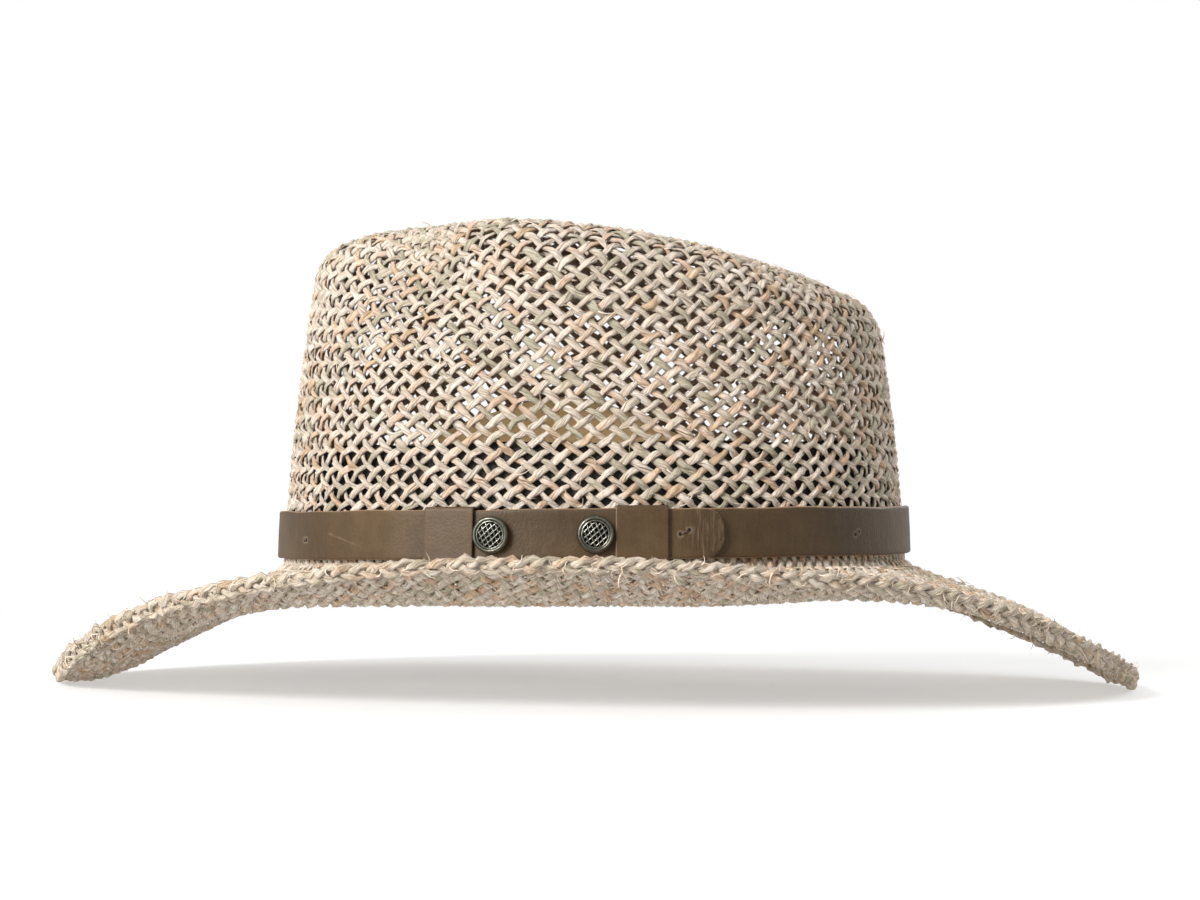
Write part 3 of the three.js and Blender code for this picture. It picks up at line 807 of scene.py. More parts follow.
class Paint(Nodes):
    """One material's nodes."""

    def __init__(self, name):
        self.material = bpy.data.materials.new(name)
        self.material.use_nodes = True
        super().__init__(self.material.node_tree)
        self.shader = self.tree.nodes["Principled BSDF"]

    def read(self, name):
        node = self.add("ShaderNodeAttribute", attribute_type="GEOMETRY")
        node.attribute_name = name
        return node.outputs["Fac"]

    def place(self):
        return self.add("ShaderNodeTexCoord").outputs["Object"]

    def at(self, x=0.0, y=0.0, z=0.0):
        node = self.add("ShaderNodeCombineXYZ")
        for socket, value in zip(node.inputs, (x, y, z)):
            self.put(socket, value)
        return node.outputs[0]

    def noise(self, where, scale, detail=2.0, roughness=0.5):
        node = self.add("ShaderNodeTexNoise")
        self.join(where, node.inputs["Vector"])
        node.inputs["Scale"].default_value = scale
        node.inputs["Detail"].default_value = detail
        node.inputs["Roughness"].default_value = roughness
        return node.outputs["Fac"]

    def ramp(self, value, stops, smooth_steps=False):
        node = self.add("ShaderNodeValToRGB")
        node.color_ramp.interpolation = "EASE" if smooth_steps else "LINEAR"
        while len(node.color_ramp.elements) < len(stops):
            node.color_ramp.elements.new(0.5)
        for element, (at, colour) in zip(node.color_ramp.elements, stops):
            element.position = at
            element.color = colour if isinstance(colour, tuple) else (colour, colour, colour, 1)
        self.join(value, node.inputs["Fac"])
        return node.outputs["Color"]

    def mix(self, blend, share, first, second):
        node = self.add("ShaderNodeMix", data_type="RGBA", blend_type=blend)
        self.put(node.inputs["Factor"], share)
        self.put(node.inputs[6], first)
        self.put(node.inputs[7], second)
        return node.outputs[2]

    def bump(self, height, strength, distance, before=None):
        node = self.add("ShaderNodeBump")
        node.inputs["Strength"].default_value = strength
        node.inputs["Distance"].default_value = distance
        self.join(height, node.inputs["Height"])
        if before is not None:
            self.join(before, node.inputs["Normal"])
        return node.outputs["Normal"]

    def finish(self, colour, roughness, normal, **fixed):
        self.join(colour, self.shader.inputs["Base Color"])
        self.put(self.shader.inputs["Roughness"], roughness)
        if normal is not None:
            self.join(normal, self.shader.inputs["Normal"])
        for key, value in fixed.items():
            self.shader.inputs[key.replace("_", " ")].default_value = value
        return self.material


CREAM = srgb(244, 231, 218)
PALE = srgb(251, 243, 234)
PEACH = srgb(243, 218, 197)
SAGE = srgb(224, 217, 200)
GREY_GREEN = srgb(206, 200, 181)
TAN = srgb(228, 201, 172)


def seagrass(name, shift, dull, contrast=1.0, painted_inner_shade=0.0):
    """Dried seagrass: two twisted plies, streaked along, from cream and peach to grey-green.

    The shift moves all tints, dull greys them, contrast deepens streaks and the painted shade in the
    groove between the plies, and the painted inner shade darkens the side towards the head, as it is
    seen through the openings.
    """
    paint = Paint(name)
    tint, along, across = paint.read("tint"), paint.read("along"), paint.read("across")
    seed = paint.math("MULTIPLY", tint, 37.0)
    around = paint.math("ARCSINE", across)
    first_turn = paint.math("MULTIPLY", tint, TURN_BY_TINT)
    twist = paint.math("MULTIPLY_ADD", along, 2 * math.pi / STRAND_LAY, first_turn)
    turned = paint.math("ADD", around, twist)
    ply, beside = paint.math("SINE", turned), paint.math("COSINE", turned)

    drift = paint.noise(paint.at(paint.math("MULTIPLY", along, 105.0), seed, 0.0), 1.0, 2.0)
    tone = paint.math("MULTIPLY_ADD", paint.math("SUBTRACT", drift, 0.5), 1.5, tint)
    tone = paint.math("MULTIPLY_ADD", ply, 0.07, tone)
    tone = paint.math("ADD", tone, shift)
    colour = paint.ramp(tone, [
        (0.02, GREY_GREEN), (0.22, SAGE), (0.4, CREAM), (0.55, PALE), (0.66, CREAM), (0.8, PEACH),
        (1.0, TAN),
    ])
    fibres = paint.noise(
        paint.at(
            paint.math("MULTIPLY_ADD", along, 90.0, seed),
            paint.math("MULTIPLY", ply, 3.4), paint.math("MULTIPLY", beside, 3.4),
        ), 1.0, 4.0, 0.7,
    )
    colour = paint.mix("MULTIPLY", 0.9 * contrast, colour, paint.ramp(fibres, [
        (0.3, srgb(128, 112, 88)), (0.41, srgb(210, 199, 182)), (0.52, srgb(246, 241, 233)),
        (0.66, srgb(255, 254, 250)),
    ]))
    # Painted shade: the groove between the two plies is darkened, broken up along the strand; the same
    # mask also sinks the groove in the bump.
    groove_shade = paint.math("EXPONENT", paint.math("MULTIPLY", paint.math("MULTIPLY", ply, ply), -22.0))
    broken = paint.noise(paint.at(paint.math("MULTIPLY", along, 260.0), seed, 4.0), 1.0, 2.0)
    groove_shade = paint.math("MULTIPLY", groove_shade, paint.ramp(broken, [(0.35, 0.1), (0.62, 1.0)]))
    groove_shade_strength = paint.math("MULTIPLY", groove_shade, 0.5 * contrast)
    colour = paint.mix("MULTIPLY", groove_shade_strength, colour, srgb(146, 130, 104))
    rust = paint.noise(paint.place(), 110.0, 1.0)
    colour = paint.mix(
        "MIX", paint.math("MULTIPLY", paint.ramp(rust, [(0.73, 0.0), (0.8, 1.0)]), 0.3),
        colour, srgb(186, 144, 106),
    )
    if dull:
        colour = paint.mix("MIX", dull, colour, srgb(178, 162, 134))
    # Painted shade: the side of each strand towards the head is darkened, standing in for the dim
    # inside of the crown.
    if painted_inner_shade:
        shade = paint.ramp(paint.read("inner"), [(0.52, 0.0), (0.72, painted_inner_shade)])
        colour = paint.mix("MULTIPLY", shade, colour, srgb(122, 98, 62))
    fine = paint.noise(
        paint.at(
            paint.math("MULTIPLY_ADD", along, 320.0, seed),
            paint.math("MULTIPLY", ply, 8.0), paint.math("MULTIPLY", beside, 8.0),
        ), 1.0, 2.0, 0.6,
    )
    height = paint.math("MULTIPLY_ADD", groove_shade, -1.0, paint.math("MULTIPLY", fine, 1.1))
    height = paint.math("MULTIPLY_ADD", fibres, 2.4, height)
    normal = paint.bump(height, 1.0, 0.0004)
    return paint.finish(colour, 0.66, normal, Specular_IOR_Level=0.3)


def leather(name):
    """Brown oiled leather, mottled, with a fine grain and pulled-up pale patches."""
    paint = Paint(name)
    place = paint.place()
    cloud = paint.noise(place, 24.0, 5.0, 0.6)
    colour = paint.ramp(cloud, [
        (0.3, srgb(66, 50, 30)), (0.5, srgb(78, 60, 37)), (0.7, srgb(92, 73, 47)),
    ])
    stain = paint.noise(place, 140.0, 4.0, 0.6)
    colour = paint.mix("MULTIPLY", 0.6, colour, paint.ramp(stain, [(0.35, 0.78), (0.62, 1.0)]))
    grain = paint.noise(place, 1500.0, 2.0, 0.6)
    colour = paint.mix("MULTIPLY", 0.4, colour, paint.ramp(grain, [(0.35, 0.7), (0.6, 1.0)]))
    stretched = paint.vector("MULTIPLY", place, (0.2, 1.0, 0.16))
    fold = paint.read("fold")
    wrinkle = paint.noise(stretched, 900.0, 3.0, 0.6)
    creases = paint.ramp(wrinkle, [(0.52, 0.0), (0.66, 1.0)])
    worn = paint.math("MULTIPLY", creases, paint.math("MULTIPLY", fold, 0.2))
    colour = paint.mix("MIX", worn, colour, srgb(150, 128, 104))
    raw = paint.read("raw")
    pale = paint.math("MULTIPLY", paint.math("MAXIMUM", raw, 0.0), 0.7)
    colour = paint.mix("MIX", pale, colour, srgb(172, 140, 112))
    # Painted shadow: a value below zero darkens a loop's cut end to the shadow line where the loop
    # stands proud of the band; a value above zero is a pale raw edge.
    painted_edge_shadow = paint.math("MAXIMUM", paint.math("MULTIPLY", raw, -1.0), 0.0)
    colour = paint.mix("MIX", painted_edge_shadow, colour, srgb(34, 26, 18))
    start, end = np.array(SCRATCH[0]), np.array(SCRATCH[1])
    length = float(np.linalg.norm(end - start))
    onward = (end - start) / length
    from_start = paint.vector("SUBTRACT", place, (0.0, *(start * MM)))
    along = paint.vector("DOT_PRODUCT", from_start, (0.0, *onward)).node.outputs["Value"]
    beside = paint.vector("DOT_PRODUCT", from_start, (0.0, -onward[1], onward[0])).node.outputs["Value"]
    off_line = paint.math("DIVIDE", paint.math("ABSOLUTE", beside), SCRATCH_HALF_WIDTH * MM)
    line = paint.ramp(off_line, [(0.3, 1.0), (1.0, 0.0)])
    span = paint.ramp(
        paint.math("DIVIDE", along, length * MM),
        [(0.0, 0.0), (0.1, 1.0), (0.7, 0.6), (1.0, 0.0)],
    )
    patchy = paint.ramp(wrinkle, [(0.35, 0.4), (0.6, 1.0)])
    faint = paint.math("MULTIPLY", patchy, paint.math("MULTIPLY", line, span))
    colour = paint.mix("MIX", paint.math("MULTIPLY", faint, 0.2), colour, srgb(164, 140, 112))
    sunk = None
    for hole, radius in pricks():
        distance = paint.vector("DISTANCE", place, hole).node.outputs["Value"]
        ring = paint.math("DIVIDE", distance, radius * 2.6)
        rim = paint.ramp(ring, [(0.3, 0.0), (0.48, 0.2), (0.95, 0.0)])
        colour = paint.mix("MIX", rim, colour, srgb(178, 156, 130))
        # Painted shade: each stitch hole is darkened to near black inside its pale rim; the same mask
        # sinks the hole in the bump.
        hole_shade = paint.ramp(paint.math("DIVIDE", distance, radius), [(0.5, 1.0), (1.0, 0.0)])
        colour = paint.mix("MIX", hole_shade, colour, srgb(16, 11, 7))
        sunk = hole_shade if sunk is None else paint.math("MAXIMUM", sunk, hole_shade)
    pebble = paint.add("ShaderNodeTexVoronoi")
    pebble.inputs["Scale"].default_value = 1400.0
    paint.join(place, pebble.inputs["Vector"])
    normal = paint.bump(pebble.outputs["Distance"], 0.3, 0.0002)
    normal = paint.bump(stain, 0.35, 0.0006, normal)
    normal = paint.bump(paint.math("MULTIPLY", wrinkle, fold), 0.9, 0.0005, normal)
    normal = paint.bump(paint.math("SUBTRACT", 1.0, sunk), 0.8, 0.0006, normal)
    shine = paint.math("MULTIPLY_ADD", cloud, 0.25, 0.38)
    return paint.finish(colour, shine, normal, Specular_IOR_Level=0.3)


def pewter(name):
    """Antiqued pewter: bright where it is rubbed, near black where it lies deep."""
    paint = Paint(name)
    deep = paint.read("deep")
    wear = paint.noise(paint.place(), 900.0, 3.0, 0.6)
    shade = paint.math("MULTIPLY_ADD", paint.math("SUBTRACT", wear, 0.5), 0.5, deep)
    colour = paint.ramp(shade, [
        (0.1, srgb(158, 158, 147)), (0.36, srgb(112, 111, 101)), (0.6, srgb(74, 73, 63)),
        (0.85, srgb(14, 13, 11)),
    ])
    rough = paint.math("MULTIPLY_ADD", shade, 0.3, 0.16)
    normal = paint.bump(wear, 0.3, 0.0001)
    return paint.finish(colour, rough, normal, Metallic=0.9)


def lining(name):
    """The sweatband: dark cotton twill on its back, deepened to near black as painted shade behind the
    crown wall, smooth tan leather towards the head.
    """
    paint = Paint(name)
    place = paint.place()
    wave = paint.add("ShaderNodeTexWave", wave_type="BANDS", bands_direction="DIAGONAL")
    wave.inputs["Scale"].default_value = 420.0
    wave.inputs["Distortion"].default_value = 1.0
    paint.join(place, wave.inputs["Vector"])
    # Partly painted shade: the back is dark twill, darkened further to stand for the shade between the
    # sweatband and the crown wall.
    back = paint.mix("MIX", wave.outputs["Fac"], srgb(30, 23, 14), srgb(44, 35, 22))
    cloud = paint.noise(place, 40.0, 4.0)
    front = paint.ramp(cloud, [(0.3, srgb(188, 156, 108)), (0.7, srgb(212, 182, 136))])
    colour = paint.mix("MIX", paint.read("inner"), back, front)
    grain = paint.noise(place, 900.0, 3.0)
    normal = paint.bump(wave.outputs["Fac"], 0.3, 0.0002)
    normal = paint.bump(grain, 0.3, 0.0002, normal)
    return paint.finish(colour, 0.75, normal)


def waxed_thread(name):
    paint = Paint(name)
    shade = paint.noise(paint.place(), 1800.0, 2.0)
    colour = paint.ramp(shade, [(0.35, srgb(50, 38, 28)), (0.7, srgb(86, 68, 52))])
    return paint.finish(colour, 0.6, paint.bump(shade, 0.5, 0.0001))


crown_grass = seagrass("seagrass_crown", shift=0.0, dull=0.0, contrast=1.0, painted_inner_shade=0.9)
brim_grass = seagrass("seagrass_brim", shift=0.03, dull=0.0, contrast=1.15)
braid_grass = seagrass("seagrass_braid", shift=0.0, dull=0.2, contrast=1.4)
hide = leather("oiled_leather")
metal = pewter("antiqued_pewter")
twill = lining("sweatband_lining")
thread_coat = waxed_thread("waxed_thread")

laid_strands = strand_tree()


# Crown


def crown_weave():
    """The crown's open plaiting, in three pieces of about a third of its strands each."""
    sheet = crown_sheet(columns=240, rows=160, from_root=CROWN_FOOT)
    faces = facing(sheet, 1)
    places, strands = crown_net()
    places = settle(sheet, places, strands, SETTLING_ROUNDS)
    spots = {}
    for key, (turn, share) in places.items():
        point = on_sheet(sheet, turn, share)
        face = on_sheet(faces, turn, share)
        slip = luck.normal(0, CROWN_SLIP, 3)
        spots[key] = (point + slip - face * (slip @ face), face)
    laid = []
    for path in strands:
        size = CROWN_STRAND * luck.uniform(0.86, 1.14)
        wobble = 1 + 0.09 * luck.normal(0, 1, len(path))
        points = np.array([spots[key][0] for key, _ in path])
        fronts = np.array([spots[key][1] for key, _ in path])
        sides = np.array([side for _, side in path], float)
        strand = thread(points, fronts, sides, size * wobble, STEPS_TO_A_CROSSING, straight=0.85)
        laid.append(weathered(strand, sway=0.05, tilt=0.3, swell=0.07))
    tints = np.clip(luck.normal(0.5, 0.2, len(laid)), 0.02, 0.98)
    order = np.arange(len(laid))
    pieces = []
    for part in range(3):
        chosen = order[order % 3 == part]
        piece = lines_mesh(f"crown_weave_{part + 1}", [laid[k] for k in chosen], tints[chosen])
        pieces.append(grown(
            piece, laid_strands, flatness=CROWN_STRAND_FLATNESS, weave_rise=CROWN_WEAVE_RISE * MM,
            groove_depth=0.42 * MM, lay_length=STRAND_LAY, roughness=0.45 * MM, sides=8,
            material=crown_grass,
        ))
    return pieces


# Brim


def brim_weave():
    """The brim's close plaiting, one piece for the strands that lean each way."""
    sheet = brim_sheet(columns=336, rows=150, from_root=BRIM_FOOT)
    faces = facing(sheet, -1)
    rows = BRIM_ROWS + 1
    share = np.linspace(0, 1, rows)
    share = share * (1.3 - 0.3 * share)
    spots = {}
    for row in range(rows):
        for step in range(row % 2, 2 * BRIM_STRANDS, 2):
            turn = step / (2 * BRIM_STRANDS)
            point = on_sheet(sheet, turn, share[row])
            face = on_sheet(faces, turn, share[row])
            slip = luck.normal(0, BRIM_SLIP, 3) * (0 if row == 0 else 1)
            spots[step, row] = (point + slip - face * (slip @ face), face)
    pieces = []
    for number, way in enumerate((1, -1)):
        laid = []
        for start in range(0, 2 * BRIM_STRANDS, 2):
            path = [((start + way * row) % (2 * BRIM_STRANDS), row) for row in range(rows)]
            points = np.array([spots[key][0] for key in path])
            fronts = np.array([spots[key][1] for key in path])
            sides = np.array([way * (1 if row % 2 == 0 else -1) for _, row in path], float)
            others = [((start + way * row - 2 * way) % (2 * BRIM_STRANDS), row) for row in range(rows)]
            beside = np.array([spots[key][0] for key in others])
            ahead = np.gradient(points, axis=0)
            ahead /= np.linalg.norm(ahead, axis=1, keepdims=True)
            gap = np.linalg.norm(np.cross(beside - points, ahead), axis=1)
            cover = 0.74 + 0.1 * smooth(np.arange(rows), 4, 10)
            widths = gap * cover * luck.uniform(0.9, 1.12) * (1 + 0.06 * luck.normal(0, 1, rows))
            widths = np.minimum(widths, WIDEST_BRIM_STRAND)
            strand = thread(points, fronts, sides, widths, STEPS_TO_A_CROSSING, straight=0.7)
            laid.append(weathered(strand, sway=0.05, tilt=0.16, swell=0.05))
        tints = np.clip(luck.normal(0.5, 0.21, len(laid)), 0.02, 0.98)
        piece = lines_mesh(f"brim_weave_{number + 1}", laid, tints)
        pieces.append(grown(
            piece, laid_strands, flatness=BRIM_STRAND_FLATNESS, weave_rise=BRIM_WEAVE_RISE * MM,
            groove_depth=0.34 * MM, lay_length=STRAND_LAY, roughness=0.25 * MM, sides=6,
            material=brim_grass,
        ))
    return pieces


def edge_braid():
    """A three-strand braid round the brim's edge."""
    count = BRAID_WAVES * BRAID_STEPS
    fine = np.linspace(0, 2 * np.pi, 6001)
    line = edge_middle(fine)
    along = np.concatenate([[0], np.cumsum(np.linalg.norm(np.diff(line, axis=0), axis=1))])
    angle = np.interp(np.arange(count) / count * along[-1], along, fine)
    middle = edge_middle(angle) - [0, 0, BRAID_DROP]
    middle[:, 2] = np.maximum(middle[:, 2], BRAID_LEAST_HEIGHT)
    forward = np.roll(middle, -1, axis=0) - np.roll(middle, 1, axis=0)
    forward /= np.linalg.norm(forward, axis=1, keepdims=True)
    outward = np.cross(forward, [0.0, 0.0, 1.0])
    outward /= np.linalg.norm(outward, axis=1, keepdims=True)
    upward = np.cross(outward, forward)
    width_way = upward * 0.92 + outward * 0.39
    depth_way = outward * 0.92 - upward * 0.39
    laid = []
    for strand in range(3):
        phase = 2 * np.pi * (np.arange(count) / BRAID_STEPS + strand / 3)
        sway = BRAID_HALF_WIDTH * np.sin(phase) * (1 + 0.2 * luck.normal(0, 1, count))
        weave = BRAID_HALF_DEPTH * np.sin(2 * phase) * (1 + 0.2 * luck.normal(0, 1, count))
        points = middle + width_way * sway[:, None] + depth_way * weave[:, None]
        widths = BRAID_STRAND * (1 + 0.13 * luck.normal(0, 1, count))
        laid.append(thread(points, depth_way, np.zeros(count), widths, 1, closed=True))
    piece = lines_mesh("edge_braid", laid, np.array([0.36, 0.5, 0.66]), closed=True)
    return grown(
        piece, laid_strands, flatness=0.72, weave_rise=0.0, groove_depth=0.42 * MM,
        lay_length=STRAND_LAY, roughness=0.8 * MM, sides=8, material=braid_grass,
    )


# Leather


def mesh_piece(name, points, faces, material, values=None):
    """A piece from points in millimetres, faces, and values that its material reads."""
    mesh = bpy.data.meshes.new(name)
    mesh.from_pydata([tuple(point * MM) for point in points], [], faces)
    for key, numbers in (values or {}).items():
        mesh.attributes.new(key, "FLOAT", "POINT").data.foreach_set("value", np.asarray(numbers, float))
    mesh.materials.append(material)
    mesh.polygons.foreach_set("use_smooth", [True] * len(mesh.polygons))
    mesh.update()
    piece = bpy.data.objects.new(name, mesh)
    bpy.context.scene.collection.objects.link(piece)
    return piece


def strip_faces(sections, corners, closed=False):
    """Faces of a strip of cross-sections, with its ends closed."""
    faces = []
    spans = sections if closed else sections - 1
    for step in range(spans):
        here, there = step * corners, ((step + 1) % sections) * corners
        for corner in range(corners):
            after = (corner + 1) % corners
            faces.append((here + corner, there + corner, there + after, here + after))
    if not closed:
        faces.append(tuple(range(corners)))
        faces.append(tuple(range(sections * corners - 1, (sections - 1) * corners - 1, -1)))
    return faces


# A leather edge in section: shares of its thickness outwards, and distance in from the rim.
STRIP_SECTION = [
    (0.0, 0.0), (0.3, -0.05), (0.62, 0.0), (0.84, 0.14), (0.96, 0.34), (1.0, 0.62), (1.02, 1.1),
    (0.985, 1.9),
]


def leather_strip(name, angles, off_face, low, high, thickness, fold):
    """A leather strip beside the crown wall, with rounded edges and a pressed line inside them."""
    ring = []
    for out, inset in STRIP_SECTION:
        ring.append((out, inset, 0))
    ring.append((1.0, 0, 0.5))
    for out, inset in reversed(STRIP_SECTION):
        ring.append((out, inset, 1))
    points = []
    raw = []
    folds = []
    for angle, off, bottom, top, crumple in zip(angles, off_face, low, high, fold):
        squeeze = min(1.0, (top - bottom) / 6.0)
        for out, inset, side in ring:
            if side == 0.5:
                height = (bottom + top) / 2
            elif side == 0:
                height = bottom + inset * squeeze
            else:
                height = top - inset * squeeze
            points.append(beside_wall(np.float64(angle), height, off + thickness * out))
            raw.append(1.0 - min(max((out - 0.75) / 0.2, 0), 1))
            folds.append(crumple)
    faces = strip_faces(len(angles), len(ring))
    return mesh_piece(name, points, faces, hide, {"raw": raw, "fold": folds})


def leather_band():
    start = angle_at(BAND_START)
    end = angle_at(BAND_END) + 2 * math.pi
    tongue = turn_over(TONGUE_LENGTH, end)
    straight = np.linspace(start, end - tongue, 460)
    rounding = np.radians([8, 16, 25, 35, 45, 54, 62, 70, 76, 81, 85, 88])
    angles = np.concatenate([straight, end - tongue + tongue * np.sin(rounding)])
    half = np.full(len(angles), BAND_WIDTH / 2)
    half[len(straight):] *= TONGUE_BLUNT + (1 - TONGUE_BLUNT) * np.cos(rounding)
    waver = 0.16 * np.sin(angles * 9.0) + 0.1 * np.sin(angles * 23.0 + 1.0)
    waver *= smooth(end - angles, 0.0, 0.3)
    low = BAND_WIDTH / 2 - half + waver * 0.6
    high = BAND_WIDTH / 2 + half + waver
    fold = 0.12 + 0.88 * smooth(angles, end - turn_over(16.0, end), end - turn_over(8.0, end))
    off_face = band_off_face(angles, start, end)
    return leather_strip("leather_band", angles, off_face, low, high, LEATHER, fold)


def rounded_oblong(near, far, low, high, radius):
    """A rounded oblong as outward and upward places, with a point beside each corner's ends."""
    beside = 0.5
    ring = []
    for out, up, start in (
        (far - radius, low + radius, -math.pi / 2), (far - radius, high - radius, 0.0),
        (near + radius, high - radius, math.pi / 2), (near + radius, low + radius, math.pi),
    ):
        turns = start + np.linspace(0, math.pi / 2, 5)
        arc = [(out + radius * math.cos(turn), up + radius * math.sin(turn)) for turn in turns]
        first, last = arc[0], arc[-1]
        back = (math.sin(turns[0]) * beside, -math.cos(turns[0]) * beside)
        on = (-math.sin(turns[-1]) * beside, math.cos(turns[-1]) * beside)
        ring.append((first[0] + back[0], first[1] + back[1]))
        ring.extend(arc)
        ring.append((last[0] + on[0], last[1] + on[1]))
    return ring


def leather_loop(name, at, ends, paleness):
    """A short sleeve of thinner leather round both layers of the band."""
    centre = angle_at(at)
    far = LOOP_GAP * 3 + LOOP_WALL * 2 + 2 * LEATHER + LAYER_GAP
    low, high = -LOOP_GAP - LOOP_FOLD, BAND_WIDTH + LOOP_GAP + LOOP_FOLD
    outer = rounded_oblong(0.0, far, low, high, 1.1)
    inner = rounded_oblong(LOOP_WALL, far - LOOP_WALL, low + LOOP_FOLD, high - LOOP_FOLD, 0.6)
    half = LOOP_LENGTH / 2
    stations = [
        -half, 0.3 - half, 0.8 - half, *np.linspace(1.5 - half, half - 1.5, 12),
        half - 0.8, half - 0.3, half,
    ]
    points, raw = [], []
    for section, outside in ((outer, True), (inner, False)):
        for station in stations:
            at_end = abs(station) > half - 0.1
            for out, up in section:
                if outside and at_end:
                    out, up = out * 0.96 + far * 0.02, up * 0.98 + (low + high) * 0.01
                points.append(beside_wall(np.float64(centre + turn_over(station, centre)), up, out))
                # End values above zero paint a pale raw edge, values below zero a painted shadow line
                # on the cut end.
                edge = ends[0] if station < 0 else ends[1]
                raw.append(edge if at_end else paleness)
    corners, steps = len(outer), len(stations) - 1
    hollow = len(stations) * corners
    faces = []
    for step in range(steps):
        for corner in range(corners):
            after = (corner + 1) % corners
            here, there = step * corners, (step + 1) * corners
            quad = (here + corner, there + corner, there + after, here + after)
            faces.append(quad)
            faces.append(tuple(index + hollow for index in reversed(quad)))
    last = steps * corners
    for corner in range(corners):
        after = (corner + 1) % corners
        faces.append((corner, after, after + hollow, corner + hollow))
        faces.append((last + after, last + corner, last + corner + hollow, last + after + hollow))
    return mesh_piece(name, points, faces, hide, {"raw": raw, "fold": [0.1] * len(points)})


def tack_threads():
    """The waxed thread of the tack stitches, dipping into its holes."""
    laid = []
    for tack in TACKS:
        spots, normal = tack_line(tack, 0.0, 7)
        sink = np.array([-0.6, -0.1, 0.15, 0.2, 0.15, -0.1, -0.6])
        facing_out = np.repeat(normal[None, :], 7, axis=0)
        rows = np.concatenate([
            spots + facing_out * sink[:, None], facing_out, np.zeros((7, 1)), np.full((7, 1), 1.0),
        ], axis=1)
        laid.append(rows)
    piece = lines_mesh("tack_stitches", laid, np.array([0.3, 0.5, 0.7]))
    return grown(
        piece, laid_strands, flatness=0.7, weave_rise=0.0, groove_depth=0.08 * MM,
        lay_length=2.0 * MM, roughness=0.1 * MM, sides=8, material=thread_coat,
    )


# Studs

# A stud from its back to its recess: distance from the middle, height, and how deep it lies.
STUD_PROFILE = [
    (0.0, 0.0, 1.0), (4.9, 0.0, 1.0), (5.3, 0.15, 0.95), (5.6, 0.55, 0.8), (5.75, 1.0, 0.7),
    (5.8, 1.4, 0.62), (5.74, 1.85, 0.58), (5.55, 2.25, 0.5), (5.3, 2.55, 0.44), (5.02, 2.7, 0.42),
    (4.75, 2.66, 0.5), (4.52, 2.45, 0.66), (4.4, 2.28, 0.66), (4.3, 2.3, 0.35), (4.2, 2.42, 0.2),
    (4.1, 2.42, 0.2), (4.0, 2.3, 0.5), (3.94, 2.05, 0.95),
]
LATTICE_PITCH = 1.42
LATTICE_SLANT = 35.0
LATTICE_LEAN = 13.0


def stud(name, at):
    """A round stud: rolled rim, bright inner ring, and a slanted lattice of fine bars."""
    sides, rings = 96, 44
    points, deep, faces = [], [], []
    for radius, height, depth in STUD_PROFILE:
        for side in range(sides):
            turn = 2 * math.pi * side / sides
            points.append((radius * math.cos(turn), radius * math.sin(turn), height))
            deep.append(depth)
    inner = STUD_PROFILE[-1][0]
    slant, lean = math.radians(LATTICE_SLANT), math.radians(LATTICE_LEAN)
    for ring in range(1, rings + 1):
        radius = inner * (1 - ring / rings)
        for side in range(sides):
            turn = 2 * math.pi * side / sides
            x, y = radius * math.cos(turn), radius * math.sin(turn)
            bars = []
            u, v = x * math.cos(lean) - y * math.sin(lean), x * math.sin(lean) + y * math.cos(lean)
            for way in (1, -1):
                across = u * math.cos(slant) + v * math.sin(slant) * way
                wave = abs(((across / LATTICE_PITCH) % 1) - 0.5) * 2
                bars.append(float(smooth(wave, 0.56, 0.94)))
            bar = max(bars)
            dome = 0.28 * (1 - (radius / inner) ** 2)
            points.append((x, y, 1.93 + dome + 0.55 * bar * float(smooth(inner - radius, 0, 0.4))))
            deep.append(1.0 - bar)
    lines = len(STUD_PROFILE) + rings
    for line in range(1, lines - 1):
        for side in range(sides):
            after = (side + 1) % sides
            here, there = line * sides, (line + 1) * sides
            faces.append((here + side, here + after, there + after, there + side))
    faces.append(tuple(range(2 * sides - 1, sides - 1, -1)))
    angle = angle_at(at)
    full = angle_at(BAND_END) + 2 * math.pi
    off = float(band_off_face(np.float64(angle + 2 * math.pi), angle_at(BAND_START), full))
    seat = beside_wall(np.float64(angle), BAND_WIDTH / 2, off + LEATHER + STUD_GAP)
    normal = wall_normal(np.float64(angle))
    up = np.array([0.0, 0.0, 1.0])
    sideways = np.cross(up, normal)
    placed = [seat + sideways * x + up * y + normal * z for x, y, z in np.array(points)]
    piece = mesh_piece(name, placed, faces, metal, {"deep": deep})
    return tidied(piece)


def tidied(piece):
    """Merges doubled points, drops loose ones and turns every face outwards."""
    work = bmesh.new()
    work.from_mesh(piece.data)
    bmesh.ops.remove_doubles(work, verts=work.verts, dist=0.00001)
    loose = [vertex for vertex in work.verts if not vertex.link_faces]
    bmesh.ops.delete(work, geom=loose, context="VERTS")
    bmesh.ops.recalc_face_normals(work, faces=work.faces)
    work.to_mesh(piece.data)
    work.free()
    return piece


# Sweatband


